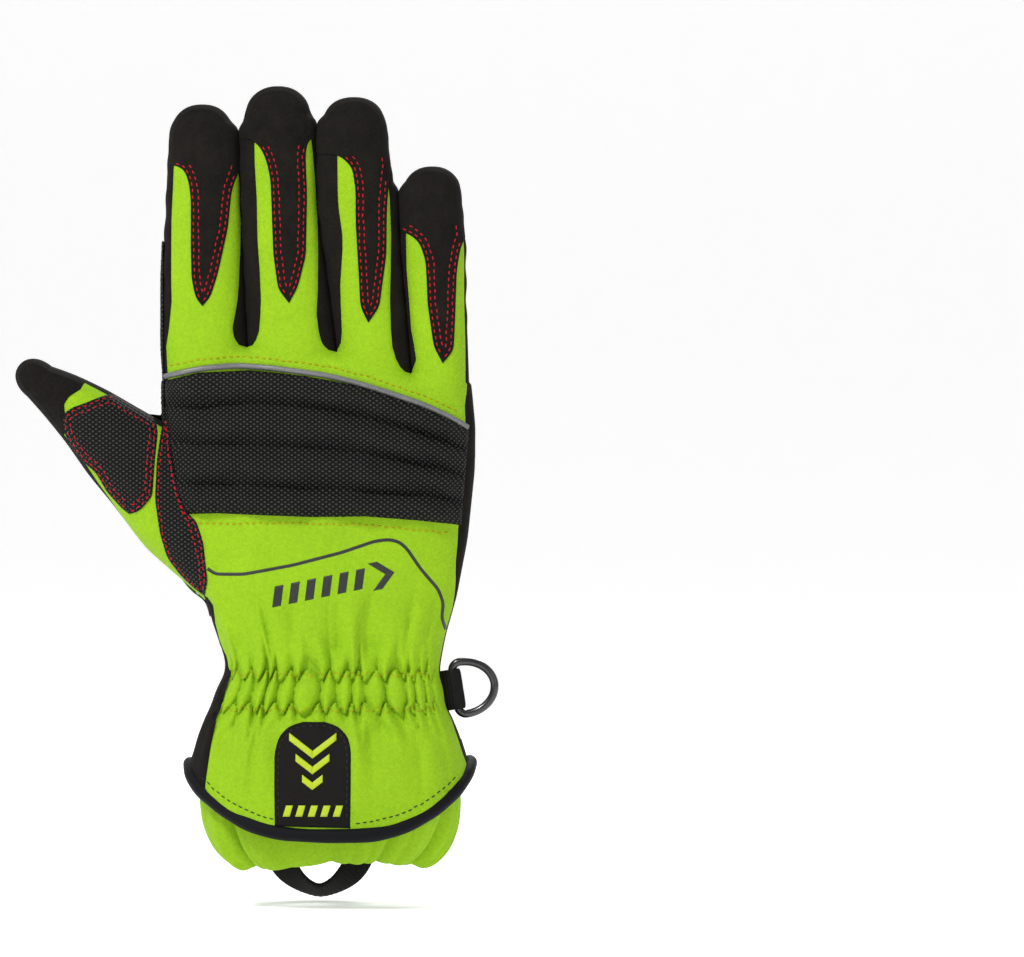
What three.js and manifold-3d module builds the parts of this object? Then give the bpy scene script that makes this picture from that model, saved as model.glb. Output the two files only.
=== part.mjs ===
// Rescue glove, right hand, shown as worn: fingers up (+Z), back of the hand towards -Y,
// thumb towards -X. Millimetres; the origin is the middle of the wrist.
import * as THREE from "three";
import { mergeVertices } from "three/addons/utils/BufferGeometryUtils.js";
import Module from "manifold-3d";

const wasm = await Module();
wasm.setup();

// Driving sizes
const PALM_WIDTH = 114.5;
const HAND_LENGTH = 220.6;
const HAND_DEPTH = 40;
const CLOTH = 1.6;
const GAP = 0.3;
const SUEDE_CAP = 0.9;
const GRIP_PAD = 0.9;
const WOVEN_PATCH = 1.1;
const HEEL_PAD = 2.2;
const PIPING_HEIGHT = 1.3;
const PAD_EDGE = 1.5;
const PAD_RIB = 4.3;
const GATHER_DEPTH = 2.4;
const GATHERS = 22;
const SEAM_DEPTH = 6.5;
const SEAM_SPAN = 50;
const STRIP_FOOT = 16;
const CROWN_INSET = 8;
const FINGER_CURL = 7;
const CURL_START = 0.544 * HAND_LENGTH;
const KNUCKLE_LEVEL = 0.5576 * HAND_LENGTH;
const TIP_INDEX = 0.9665 * HAND_LENGTH;
const TIP_MIDDLE = 0.9968 * HAND_LENGTH;
const TIP_RING = 0.9787 * HAND_LENGTH;
const TIP_LITTLE = 0.8636 * HAND_LENGTH;
const TIP_THUMB = 7;
const GAP_INDEX_MIDDLE = -0.283 * PALM_WIDTH;
const GAP_MIDDLE_RING = -0.0314 * PALM_WIDTH;
const GAP_RING_LITTLE = 0.2148 * PALM_WIDTH;
const BINDING_RADIUS = 2.7;
const BINDING_LIFT = 5.8;
const CUFF_HALF_WIDTH = 50.8;
const CUFF_BACK = 32;
const CUFF_PALM = 28.4;
const CUFF_SHIFT = -1.1;
const HEM_SIDE = -26.5;
const HEM_BACK_DROP = 25.6;
const HEM_PALM_DROP = 12;
const INNER_CUFF_WALL = 1.3;
const INNER_CUFF_WAVES = 11;
const INNER_CUFF_WAVE = 1;
const LABEL_THICKNESS = 0.9;
const RING_WIRE = 3;
const RING_HEIGHT = 22;
const RING_REACH = 14.4;
const RING_CORNER = 3;
const RING_STAND = 3.8;
const RING_Y = -2;
const RING_Z = 0.4;
const RING_LEAN = 9;
const TAB_WIDTH = 14.6;
const TAB_WEBBING = 1.2;
const TAB_TAIL = 7;
const BAR_CLEARANCE = 0.35;
const LOOP_BAND = 10;
const LOOP_THICKNESS = 1.6;
const LOOP_LEFT = -21.4;
const LOOP_RIGHT = 10.2;
const LOOP_TOP = -41.6;
const LOOP_TOP_LEFT = -40.6;
const LOOP_BOTTOM = -74.6;
const LOOP_Y = 30.4;
const LOOP_TWIST = 62;
const LOOP_RIBS = 9;
const FAR = 160;

// Drawing density
const HAND_POINTS = 24;
const CUFF_POINTS = 2 * GATHERS;
const FINGER_POINTS = 10;
const INNER_POINTS = 18;
const INNER_FINGER_POINTS = 8;
const DOME_STEPS = 3;
const HEM_POINTS = 26;

const table = (names, rows) => {
  const keys = names.split(" ");
  return rows.map((row) => Object.fromEntries(keys.map((key, i) => [key, row[i]])));
};

// Hand and cuff sections: heights are shares of HAND_LENGTH, left and right of PALM_WIDTH,
// back and palm of HAND_DEPTH, fold of GATHER_DEPTH; tilt is the slope of the section.
const HAND_ROWS = table("up left right back palm fold tilt", [
  [-0.2992, -0.4367, 0.4105, 0.825, 0.75, 0, 0],
  [-0.1813, -0.4568, 0.4393, 0.815, 0.74, 0.333, 0],
  [-0.1179, -0.4541, 0.4323, 0.7425, 0.6675, 0.5, 0],
  [-0.068, -0.4279, 0.4017, 0.6375, 0.5875, 0.708, 0],
  [-0.0249, -0.3869, 0.3581, 0.52, 0.505, 1, 0],
  [0.0023, -0.3703, 0.3546, 0.54, 0.525, 0.542, 0],
  [0.0272, -0.3432, 0.338, 0.485, 0.48, 1, 0],
  [0.0476, -0.3406, 0.3424, 0.49, 0.49, 0.75, 0],
  [0.0907, -0.3668, 0.3581, 0.475, 0.5, 0.375, 0],
  [0.1541, -0.4087, 0.393, 0.455, 0.51, 0, 0],
  [0.2493, -0.4559, 0.4279, 0.4325, 0.52, 0, 0],
  [0.3626, -0.5109, 0.4507, 0.415, 0.5, 0, 0],
  [0.4352, -0.5354, 0.4524, 0.4, 0.46, 0, -0.04],
  [0.4941, -0.538, 0.4402, 0.37, 0.395, 0, -0.12],
  [0.5349, -0.524, 0.4227, 0.305, 0.31, 0, -0.17],
]);
const INDEX_ROWS = table("up left right back palm", [
  [0.4284, -0.5238, -0.2571, 0.3, 0.3125],
  [0.5668, -0.5413, -0.273, 0.315, 0.33],
  [0.6838, -0.5413, -0.2857, 0.295, 0.305],
  [0.7992, -0.5318, -0.2975, 0.28, 0.285],
  [0.8931, -0.5238, -0.3111, 0.26, 0.26],
]);
const MIDDLE_ROWS = table("up left right back palm", [
  [0.4284, -0.2318, 0.0095, 0.3, 0.3125],
  [0.5586, -0.2651, 0.0121, 0.325, 0.335],
  [0.6838, -0.2794, -0.0222, 0.305, 0.31],
  [0.7992, -0.2892, -0.0565, 0.29, 0.29],
  [0.9194, -0.2873, -0.0651, 0.265, 0.265],
]);
const RING_ROWS = table("up left right back palm", [
  [0.4284, 0.0413, 0.2699, 0.3, 0.3125],
  [0.5437, 0.0197, 0.2425, 0.32, 0.33],
  [0.6838, -0.0152, 0.2203, 0.3, 0.305],
  [0.7992, -0.0464, 0.2, 0.285, 0.285],
  [0.903, -0.0445, 0.1746, 0.265, 0.265],
]);
const LITTLE_ROWS = table("up left right back palm", [
  [0.412, 0.2889, 0.4381, 0.275, 0.2875],
  [0.5223, 0.2514, 0.4318, 0.29, 0.3],
  [0.6426, 0.2305, 0.4238, 0.275, 0.28],
  [0.7333, 0.2153, 0.4223, 0.265, 0.265],
  [0.8024, 0.219, 0.4095, 0.245, 0.245],
]);
// Thumb stations along its own line; wide is a share of PALM_WIDTH, deep and mid of HAND_DEPTH.
const THUMB_ROWS = table("across up wide deep mid", [
  [-0.3556, 0.2603, 0.1968, 0.3875, 0.075],
  [-0.4794, 0.3098, 0.1873, 0.395, 0.0875],
  [-0.6064, 0.3708, 0.1556, 0.355, 0.1125],
  [-0.6953, 0.4086, 0.1333, 0.325, 0.1375],
  [-0.7841, 0.4515, 0.1064, 0.3, 0.1625],
  [-0.873, 0.4877, 0.081, 0.27, 0.1875],
  [-0.9365, 0.5092, 0.0619, 0.24, 0.205],
]);
// Seam between back and palm: mid is the depth at the middle, lean its change at SEAM_SPAN across.
const SEAM_ROWS = table("up mid lean", [
  [-0.45, -0.025, 0.3],
  [-0.12, -0.025, 0.3],
  [0, -0.15, 0.05],
  [0.27, -0.15, -0.04],
  [0.48, -0.15, -0.04],
]);
// Outlines: across is a share of PALM_WIDTH, up a share of HAND_LENGTH.
const INDEX_CAP = table("across up", [
  [-0.581, 0.8667], [-0.5079, 0.8667], [-0.4699, 0.8568], [-0.454, 0.8338], [-0.4476, 0.8041],
  [-0.4476, 0.7316], [-0.4445, 0.6756], [-0.4318, 0.6443], [-0.4095, 0.6311],
  [-0.3841, 0.6459], [-0.3619, 0.6838], [-0.3314, 0.758], [-0.3191, 0.8229], [-0.2952, 0.8526],
  [-0.2937, 1.0381], [-0.581, 1.0381],
]);
const MIDDLE_CAP = table("across up", [
  [-0.2927, 0.9063], [-0.254, 0.9063], [-0.2286, 0.8931], [-0.2095, 0.8717], [-0.1968, 0.8404],
  [-0.1921, 0.7926], [-0.1873, 0.7201], [-0.1714, 0.6591], [-0.1365, 0.636], [-0.1079, 0.6624],
  [-0.0825, 0.7151], [-0.0803, 0.8157], [-0.0873, 0.8865], [-0.0794, 0.9079],
  [-0.0533, 0.9112], [-0.0533, 1.0546], [-0.2927, 1.0546],
]);
const RING_CAP = table("across up", [
  [-0.0508, 0.8799], [0.0222, 0.8799], [0.0622, 0.8601], [0.073, 0.8222], [0.073, 0.7695],
  [0.0825, 0.6888], [0.0889, 0.6295], [0.1143, 0.6039], [0.1492, 0.6295], [0.1714, 0.7151],
  [0.1733, 0.7959], [0.1841, 0.8552], [0.2038, 0.8651], [0.2038, 1.0381], [-0.0508, 1.0381],
]);
const LITTLE_CAP = table("across up", [
  [0.2057, 0.7662], [0.2286, 0.753], [0.2749, 0.7366], [0.2952, 0.7052], [0.3016, 0.6344],
  [0.3206, 0.5652], [0.3492, 0.5372], [0.3841, 0.5586], [0.3889, 0.608], [0.3937, 0.6888],
  [0.4254, 0.7448], [0.4794, 0.7547], [0.4794, 0.9063], [0.2057, 0.9063],
]);
const THUMB_CAP = table("across up", [
  [-0.7905, 0.5602], [-0.8048, 0.4927], [-0.8476, 0.4746], [-0.873, 0.4564], [-0.8762, 0.4334],
  [-0.8635, 0.4103], [-0.9048, 0.3625], [-1.0889, 0.3625], [-1.0889, 0.5932],
]);
const INDEX_GRIP = table("across up", [
  [-0.2937, 0.7712], [-0.3048, 0.7778], [-0.3778, 0.814], [-0.4445, 0.8354], [-0.4794, 0.8288],
  [-0.4984, 0.8173], [-0.581, 0.8074], [-0.581, 1.0381], [-0.2937, 1.0381],
]);
const MIDDLE_GRIP = table("across up", [
  [-0.0533, 0.8535], [-0.0794, 0.8601], [-0.1238, 0.8865], [-0.181, 0.898], [-0.2254, 0.8849],
  [-0.2698, 0.8519], [-0.2927, 0.8437], [-0.2927, 1.0546], [-0.0533, 1.0546],
]);
const RING_GRIP = table("across up", [
  [0.2038, 0.8074], [0.1651, 0.8157], [0.1175, 0.8437], [0.054, 0.8552], [0.0159, 0.8453],
  [-0.019, 0.8222], [-0.0508, 0.8107], [-0.0508, 1.0381], [0.2038, 1.0381],
]);
const LITTLE_GRIP = table("across up", [
  [0.4794, 0.7448], [0.4095, 0.753], [0.381, 0.7646], [0.3524, 0.7662], [0.3079, 0.7547],
  [0.254, 0.7201], [0.2057, 0.7135], [0.2057, 0.9063], [0.4794, 0.9063],
]);
const THUMB_GRIP = table("across up", [
  [-0.6318, 0.5273], [-0.6476, 0.4729], [-0.6699, 0.4119], [-0.6984, 0.3691],
  [-0.7143, 0.3773], [-0.7841, 0.4103], [-0.8603, 0.4433], [-0.9175, 0.4746],
  [-0.9746, 0.5092], [-1.0889, 0.491], [-1.0889, 0.6097], [-0.6318, 0.6097],
]);
const INDEX_GUARD_BACK = table("across up", [
  [-0.581, 0.7415], [-0.5349, 0.7415], [-0.5318, 0.5932], [-0.5302, 0.4861], [-0.5206, 0.4449],
  [-0.5079, 0.3889], [-0.4889, 0.3329], [-0.4619, 0.2917], [-0.4286, 0.2818],
  [-0.4064, 0.2439], [-0.4, 0.2093], [-0.3937, 0.1796], [-0.4095, 0.1565], [-0.4349, 0.1648],
  [-0.4794, 0.1862], [-0.5238, 0.2175], [-0.546, 0.2587], [-0.5619, 0.3147], [-0.5556, 0.379],
  [-0.5413, 0.4433], [-0.6127, 0.4614],
]);
const INDEX_GUARD_PALM = table("across up", [
  [-0.6127, 0.7316], [-0.4984, 0.7316], [-0.4413, 0.7201], [-0.4032, 0.6674], [-0.3778, 0.58],
  [-0.3714, 0.5273], [-0.3937, 0.4729], [-0.3873, 0.4416], [-0.3556, 0.4086],
  [-0.3714, 0.3708], [-0.4254, 0.3493], [-0.4794, 0.3559], [-0.5333, 0.3823], [-0.581, 0.4119],
  [-0.6159, 0.4482], [-0.6286, 0.5108],
]);
const THUMB_PATCH = table("across up", [
  [-0.6953, 0.491], [-0.7905, 0.4713], [-0.854, 0.4564], [-0.8587, 0.4301], [-0.8318, 0.4004],
  [-0.7905, 0.374], [-0.7524, 0.3592], [-0.7175, 0.3263], [-0.6603, 0.295], [-0.6254, 0.2917],
  [-0.5683, 0.318], [-0.5603, 0.379], [-0.5476, 0.4433], [-0.6127, 0.5026],
]);
const PALM_PATCH = table("across up", [
  [0.4794, 0.5223], [0.4095, 0.5223], [0.3524, 0.5405], [0.2889, 0.5256], [0.2191, 0.5009],
  [0.1365, 0.5471], [0.0635, 0.5833], [0.0032, 0.5652], [-0.0603, 0.5289], [-0.1206, 0.5569],
  [-0.181, 0.5784], [-0.2381, 0.5602], [-0.2794, 0.5372], [-0.327, 0.4943], [-0.3683, 0.463],
  [-0.3714, 0.4498], [-0.3524, 0.4416], [0.0222, 0.4251], [0.4064, 0.4037], [0.4794, 0.4037],
]);
const HEEL_OUTER = table("across up", [
  [0.4794, 0.346], [0.4318, 0.346], [0.3397, 0.3724], [0.2191, 0.3905], [0.1175, 0.3905],
  [0.0825, 0.3839], [0.0508, 0.374], [0.0413, 0.3625], [0.054, 0.3394], [0.0825, 0.3197],
  [0.127, 0.2999], [0.1651, 0.2768], [0.1968, 0.2538], [0.2032, 0.2274], [0.1968, 0.2043],
  [0.181, 0.1796], [0.1524, 0.1483], [0.127, 0.1153], [0.1206, 0.0873], [0.146, 0.0659],
  [0.1873, 0.056], [0.2381, 0.0494], [0.3206, 0.056], [0.3619, 0.0873], [0.3937, 0.1582],
  [0.4794, 0.1648],
]);
const HEEL_INNER = table("across up", [
  [-0.181, 0.4169], [-0.2254, 0.4169], [-0.2794, 0.4037], [-0.2889, 0.3872], [-0.273, 0.3691],
  [-0.254, 0.346], [-0.2381, 0.3197], [-0.2318, 0.2917], [-0.2191, 0.2472], [-0.2127, 0.2109],
  [-0.2095, 0.1648], [-0.2127, 0.1368], [-0.1873, 0.1038], [-0.1556, 0.0873],
  [-0.1238, 0.0774], [-0.0317, 0.0709], [0.0381, 0.0774], [0.0762, 0.0923], [0.1079, 0.1203],
  [0.1238, 0.1648], [0.127, 0.1895], [0.1206, 0.2257], [0.0952, 0.2719], [0.054, 0.3065],
  [0, 0.3361], [-0.0825, 0.3658], [-0.1302, 0.3905],
]);
const THUMB_BASE = table("across up", [
  [-0.2127, 0.0989], [-0.2794, 0.1219], [-0.3333, 0.1648], [-0.3841, 0.1483],
  [-0.4222, 0.1483], [-0.4635, 0.1763], [-0.581, 0.2142], [-0.581, 0.0494], [-0.3746, 0.0428],
  [-0.2889, 0.0544],
]);
const THUMB_SIDE = table("across up", [
  [-1.0889, 0.4779], [-0.9778, 0.5026], [-0.9207, 0.468], [-0.8635, 0.4367], [-0.7873, 0.4037],
  [-0.7143, 0.3708], [-0.6064, 0.3131], [-0.4889, 0.262], [-0.4508, 0.2307], [-0.3937, 0.1977],
  [-0.3365, 0.1681], [-0.3841, 0.1516], [-0.4222, 0.1516], [-0.4635, 0.1796], [-0.581, 0.0824],
  [-1.0889, 0.0824],
]);
const THUMB_AREA = table("across up", [
  [-1.0889, 0.6426], [-0.581, 0.4713], [-0.5413, 0.4433], [-0.5524, 0.379], [-0.5556, 0.3147],
  [-0.5397, 0.2587], [-0.5143, 0.2175], [-0.4699, 0.1862], [-0.4095, 0.1565],
  [-0.4127, 0.1467], [-0.581, 0.0494], [-1.0889, 0.0824],
]);
const LABEL = table("across up", [
  [-0.1746, -0.206], [-0.1778, -0.0989], [-0.1651, -0.0725], [-0.1333, -0.0544],
  [-0.0889, -0.0478], [-0.0222, -0.0478], [0.0222, -0.0544], [0.054, -0.0725],
  [0.0635, -0.0956], [0.0635, -0.2109], [-0.054, -0.2109],
]);
const PIPING = table("across up", [
  [-0.5238, 0.5227], [-0.4127, 0.5342], [-0.2952, 0.5392], [-0.181, 0.5342], [-0.0127, 0.5227],
  [0.0857, 0.5095], [0.1873, 0.493], [0.2889, 0.4749], [0.3683, 0.4568], [0.4349, 0.437],
  [0.4349, 0.4297], [0.3683, 0.4495], [0.2889, 0.4676], [0.1873, 0.4858], [0.0857, 0.5022],
  [-0.0127, 0.5154], [-0.181, 0.527], [-0.2952, 0.5319], [-0.4127, 0.527], [-0.5238, 0.5154],
]);
// Knuckle guard: heights of its edges and of the three grooves between its four ribs.
const PAD_LINES = table("across top first second third bottom", [
  [-0.5365, 0.5092, 0.463, 0.4086, 0.3411, 0.29],
  [-0.4222, 0.5223, 0.468, 0.4054, 0.3378, 0.2917],
  [-0.2635, 0.5256, 0.4713, 0.4021, 0.3361, 0.2884],
  [-0.0889, 0.5174, 0.468, 0.4004, 0.3329, 0.2851],
  [0.0857, 0.4993, 0.4498, 0.3905, 0.3279, 0.2867],
  [0.2603, 0.4696, 0.4251, 0.374, 0.323, 0.2801],
  [0.4222, 0.4317, 0.3971, 0.3559, 0.3147, 0.2719],
]);
// Inner cuff: half width as a share of CUFF_HALF_WIDTH, depth as a share of CUFF_BACK.
const INNER_CUFF_ROWS = table("up wide deep wave", [
  [-0.115, 0.90, 0.80, 0],
  [-0.17, 0.935, 0.86, 0.3],
  [-0.215, 0.90, 0.85, 0.8],
  [-0.25, 0.80, 0.76, 1],
  [-0.275, 0.71, 0.68, 1],
  [-0.286, 0.64, 0.6, 0.8],
]);

const across = (share) => share * PALM_WIDTH;
const up = (share) => share * HAND_LENGTH;
const deep = (share) => share * HAND_DEPTH;
// The ring's bar stands off the side of the wrist
const ringX = across(HAND_ROWS.find((row) => row.up > 0).right) + RING_STAND;
const radians = THREE.MathUtils.degToRad;

const midY = (z) => FINGER_CURL * Math.max(0, (z - CURL_START) / (TIP_MIDDLE - CURL_START)) ** 2;
const power = (base, exponent) => Math.sign(base) * Math.abs(base) ** exponent;

// Closed faceted body from rings of points that may differ in number
function loft(rings, closed = false) {
  const positions = [];
  const faces = [];
  const starts = rings.map((ring) => {
    const start = positions.length / 3;
    ring.forEach((point) => positions.push(point.x, point.y, point.z));
    return start;
  });
  const stitch = (low, high) => {
    const lowCount = rings[low].length;
    const highCount = rings[high].length;
    let i = 0;
    let j = 0;
    while (i < lowCount || j < highCount) {
      const stepLow = j === highCount || (i < lowCount && (i + 1) / lowCount <= (j + 1) / highCount);
      const a = starts[low] + (i % lowCount);
      const b = starts[high] + (j % highCount);
      if (stepLow) {
        i += 1;
        faces.push(a, starts[low] + (i % lowCount), b);
      } else {
        j += 1;
        faces.push(a, starts[high] + (j % highCount), b);
      }
    }
  };
  for (let k = 0; k + 1 < rings.length; k += 1) stitch(k, k + 1);
  if (closed) {
    stitch(rings.length - 1, 0);
  } else {
    [0, rings.length - 1].forEach((k) => {
      const centre = new THREE.Vector3();
      rings[k].forEach((point) => centre.add(point));
      centre.divideScalar(rings[k].length);
      const hub = positions.length / 3;
      positions.push(centre.x, centre.y, centre.z);
      for (let i = 0; i < rings[k].length; i += 1) {
        const a = starts[k] + i;
        const b = starts[k] + ((i + 1) % rings[k].length);
        if (k === 0) faces.push(hub, b, a);
        else faces.push(hub, a, b);
      }
    });
  }
  return solid(positions, faces);
}

function solid(positions, faces) {
  const mesh = new wasm.Mesh({
    numProp: 3,
    vertProperties: new Float32Array(positions),
    triVerts: new Uint32Array(faces),
  });
  return new wasm.Manifold(mesh);
}

// One rounded section: wide at x0..x1, reaching `back` and `palm` from the middle depth
function section(row, count, grow, wave) {
  const middle = (row.x0 + row.x1) / 2;
  const half = (row.x1 - row.x0) / 2 + grow;
  const points = [];
  for (let i = 0; i < count; i += 1) {
    const angle = (2 * Math.PI * i) / count;
    const c = Math.cos(angle);
    const s = Math.sin(angle);
    const ripple = 1 - (wave ? wave(angle) : 0) / half;
    const x = middle + half * power(c, 2 / row.square) * ripple;
    const reach = (s < 0 ? row.back : row.palm) + grow;
    const y = row.mid + reach * power(s, 2 / row.square) * (1 - (wave ? wave(angle) : 0) / reach);
    points.push(new THREE.Vector3(x, y, row.z + (row.tilt ?? 0) * x));
  }
  return points;
}

// The hollow keeps every second section
const keep = (rows, smooth) => rows.filter((row, i) => !smooth || i % 2 === 0 || i === rows.length - 1);

function handBody(grow, smooth) {
  const rings = keep(HAND_ROWS, smooth).map((row) => {
    const z = up(row.up);
    const cuff = row.fold > 0 || row.up < 0;
    const loose = smooth ? (row.fold * GATHER_DEPTH) / 3 : 0;
    const count = cuff ? CUFF_POINTS : HAND_POINTS;
    const depth = row.fold * GATHER_DEPTH;
    const wave = (angle) => depth * (0.5 - 0.5 * Math.cos(GATHERS * angle));
    const data = {
      z: z + (grow < 0 && row.up < -0.25 ? 2 * grow : 0),
      x0: across(row.left) + loose,
      x1: across(row.right) - loose,
      back: deep(row.back) - loose,
      palm: deep(row.palm) - loose,
      mid: 0,
      square: row.up < 0 ? 2.25 : 2.5,
      tilt: row.tilt,
    };
    return section(data, smooth ? INNER_POINTS : count, grow, smooth || !depth ? null : wave);
  });
  const last = HAND_ROWS[HAND_ROWS.length - 1];
  const crown = {
    z: up(last.up) + 2.5 + grow,
    x0: across(last.left) + CROWN_INSET,
    x1: across(last.right) - CROWN_INSET,
    back: deep(last.back) * 0.5,
    palm: deep(last.palm) * 0.5,
    mid: 0,
    square: 2.5,
    tilt: last.tilt,
  };
  rings.push(section(crown, smooth ? INNER_POINTS : HAND_POINTS, grow));
  return loft(rings);
}

function fingerBody(rows, tip, grow, smooth) {
  const count = smooth ? INNER_FINGER_POINTS : FINGER_POINTS;
  const rings = keep(rows, smooth).map((row) => {
    const z = up(row.up);
    return section({
      z,
      x0: across(row.left),
      x1: across(row.right),
      back: deep(row.back),
      palm: deep(row.palm),
      mid: midY(z),
      square: 2.3,
    }, count, grow);
  });
  const last = rows[rows.length - 1];
  const base = up(last.up);
  const rise = tip - base + grow;
  const steps = smooth ? DOME_STEPS - 1 : DOME_STEPS;
  for (let k = 1; k <= steps; k += 1) {
    const angle = (k / (steps + 0.35)) * (Math.PI / 2);
    const shrink = Math.cos(angle) ** 0.85;
    const z = base + rise * Math.sin(angle);
    const middle = (across(last.left) + across(last.right)) / 2;
    const half = ((across(last.right) - across(last.left)) / 2 + grow) * shrink;
    rings.push(section({
      z,
      x0: middle - half,
      x1: middle + half,
      back: (deep(last.back) + grow) * shrink,
      palm: (deep(last.palm) + grow) * shrink,
      mid: midY(z),
      square: 2.3,
    }, count, 0));
  }
  return loft(rings);
}

function thumbBody(grow, smooth) {
  const count = smooth ? INNER_FINGER_POINTS : FINGER_POINTS;
  const rows = keep(THUMB_ROWS, smooth);
  const spots = rows.map((row) => new THREE.Vector3(across(row.across), deep(row.mid), up(row.up)));
  const last = spots.length - 1;
  const ring = (centre, way, half, thick) => {
    const side = new THREE.Vector3(way.z, 0, -way.x);
    const out = new THREE.Vector3(0, 1, 0);
    const points = [];
    for (let i = 0; i < count; i += 1) {
      const angle = (2 * Math.PI * i) / count;
      points.push(centre.clone()
        .addScaledVector(side, half * power(Math.cos(angle), 2 / 2.3))
        .addScaledVector(out, thick * power(Math.sin(angle), 2 / 2.3)));
    }
    return points;
  };
  const ways = spots.map((spot, i) => {
    const way = spots[Math.min(i + 1, last)].clone().sub(spots[Math.max(i - 1, 0)]);
    way.y = 0;
    return way.normalize();
  });
  const rings = spots.map((spot, i) => {
    const row = rows[i];
    return ring(spot, ways[i], across(row.wide) + grow, deep(row.deep) + grow);
  });
  const end = rows[last];
  const rise = TIP_THUMB + grow;
  const steps = smooth ? DOME_STEPS - 1 : DOME_STEPS;
  for (let k = 1; k <= steps; k += 1) {
    const angle = (k / (steps + 0.35)) * (Math.PI / 2);
    const shrink = Math.cos(angle) ** 0.85;
    const centre = spots[last].clone().addScaledVector(ways[last], rise * Math.sin(angle));
    rings.push(ring(centre, ways[last], (across(end.wide) + grow) * shrink, (deep(end.deep) + grow) * shrink));
  }
  return loft(rings);
}

function body(grow, smooth = false) {
  const parts = [
    fingerBody(INDEX_ROWS, TIP_INDEX, grow, smooth),
    fingerBody(MIDDLE_ROWS, TIP_MIDDLE, grow, smooth),
    fingerBody(RING_ROWS, TIP_RING, grow, smooth),
    fingerBody(LITTLE_ROWS, TIP_LITTLE, grow, smooth),
    thumbBody(grow, smooth),
  ];
  return parts.reduce((sum, part) => sum.add(part), handBody(grow, smooth));
}

// Outline moved outwards by `grow`, as points of the x-z plane
function outline(rows, grow = 0) {
  const points = rows.map((row) => new THREE.Vector2(across(row.across), up(row.up)));
  if (THREE.ShapeUtils.area(points) < 0) points.reverse();
  if (!grow) return points;
  return points.map((point, i) => {
    const before = points[(i + points.length - 1) % points.length];
    const after = points[(i + 1) % points.length];
    const first = point.clone().sub(before).normalize();
    const second = after.clone().sub(point).normalize();
    const normal = new THREE.Vector2(first.y + second.y, -first.x - second.x).normalize();
    const cosine = Math.max(0.5, normal.x * first.y - normal.y * first.x);
    return point.clone().addScaledVector(normal, grow / cosine);
  });
}

function fromGeometry(geometry) {
  geometry.deleteAttribute("normal");
  geometry.deleteAttribute("uv");
  const merged = mergeVertices(geometry, 1e-4);
  return solid(Array.from(merged.attributes.position.array), Array.from(merged.index.array));
}

// Outline of the x-z plane pushed through the whole depth
function prism(points) {
  const geometry = new THREE.ExtrudeGeometry(new THREE.Shape(points), {
    depth: 2 * FAR,
    bevelEnabled: false,
    curveSegments: 1,
  });
  geometry.rotateX(Math.PI / 2);
  geometry.translate(0, FAR, 0);
  return fromGeometry(geometry);
}

// Everything on one side (-1 back, 1 palm) of a face that rises with the table rows
function halfSpace(rows, side, shift) {
  return loft(rows.map((row) => {
    const left = row.mid - (row.lean * FAR) / SEAM_SPAN + shift;
    const right = row.mid + (row.lean * FAR) / SEAM_SPAN + shift;
    const wall = side * FAR;
    const corners = [
      new THREE.Vector3(-FAR, side > 0 ? left : wall, row.z),
      new THREE.Vector3(FAR, side > 0 ? right : wall, row.z),
      new THREE.Vector3(FAR, side > 0 ? wall : right, row.z),
      new THREE.Vector3(-FAR, side > 0 ? wall : left, row.z),
    ];
    return corners;
  }));
}

const fingerLevels = Array.from({ length: 4 }, (_, i) => KNUCKLE_LEVEL + ((TIP_MIDDLE + 8 - KNUCKLE_LEVEL) * i) / 3);
const backSeam = [
  ...SEAM_ROWS.map((row) => ({ z: up(row.up), mid: deep(row.mid), lean: deep(row.lean) })),
  ...fingerLevels.map((z) => ({ z, mid: midY(z) - SEAM_DEPTH, lean: 0 })),
];
const palmSeam = [
  { z: -FAR, mid: SEAM_DEPTH, lean: 0 },
  ...fingerLevels.map((z) => ({ z, mid: midY(z) + SEAM_DEPTH, lean: 0 })),
];
const flat = (depth, lean = 0) => [{ z: -FAR, mid: depth, lean }, { z: FAR * 2, mid: depth, lean }];
const thumbSlope = (deep(THUMB_ROWS[0].mid) - deep(THUMB_ROWS[THUMB_ROWS.length - 1].mid))
  / (across(THUMB_ROWS[0].across) - across(THUMB_ROWS[THUMB_ROWS.length - 1].across));
const thumbSeam = flat(deep(THUMB_ROWS[0].mid) - thumbSlope * across(THUMB_ROWS[0].across), thumbSlope * SEAM_SPAN);

function largest(shape) {
  const pieces = shape.decompose();
  return pieces.reduce((best, piece) => (piece.volume() > best.volume() ? piece : best), pieces[0]);
}

const surface = body(0);
const clearance = body(GAP);
const hollow = body(-CLOTH, true);

// The cloth ends just above the binding along the hem
const aboveHem = loft([
  hemPath(0.5, BINDING_LIFT),
  hemPath(3, BINDING_LIFT),
  hemPath(3, FAR * 2),
]);
let rest = surface.subtract(hollow).intersect(aboveHem);

const thumbRegion = (grow) => prism(outline(THUMB_AREA, grow)).intersect(halfSpace(thumbSeam, -1, grow))
  .add(prism(outline(THUMB_BASE, grow)).intersect(halfSpace(thumbSeam, 1, -grow)));
const sideRegion = (grow) => prism(outline(THUMB_SIDE, grow)).intersect(halfSpace(thumbSeam, 1, -grow));
const backRegion = (grow) => halfSpace(backSeam, -1, grow);

const centreLine = (rows, z) => {
  const low = rows.filter((row) => up(row.up) <= z).pop() ?? rows[0];
  const high = rows.find((row) => up(row.up) > z) ?? rows[rows.length - 1];
  const span = up(high.up) - up(low.up);
  const t = span > 0 ? Math.min(1, Math.max(0, (z - up(low.up)) / span)) : 0;
  const middle = (row) => (across(row.left) + across(row.right)) / 2;
  return middle(low) * (1 - t) + middle(high) * t;
};

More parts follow.
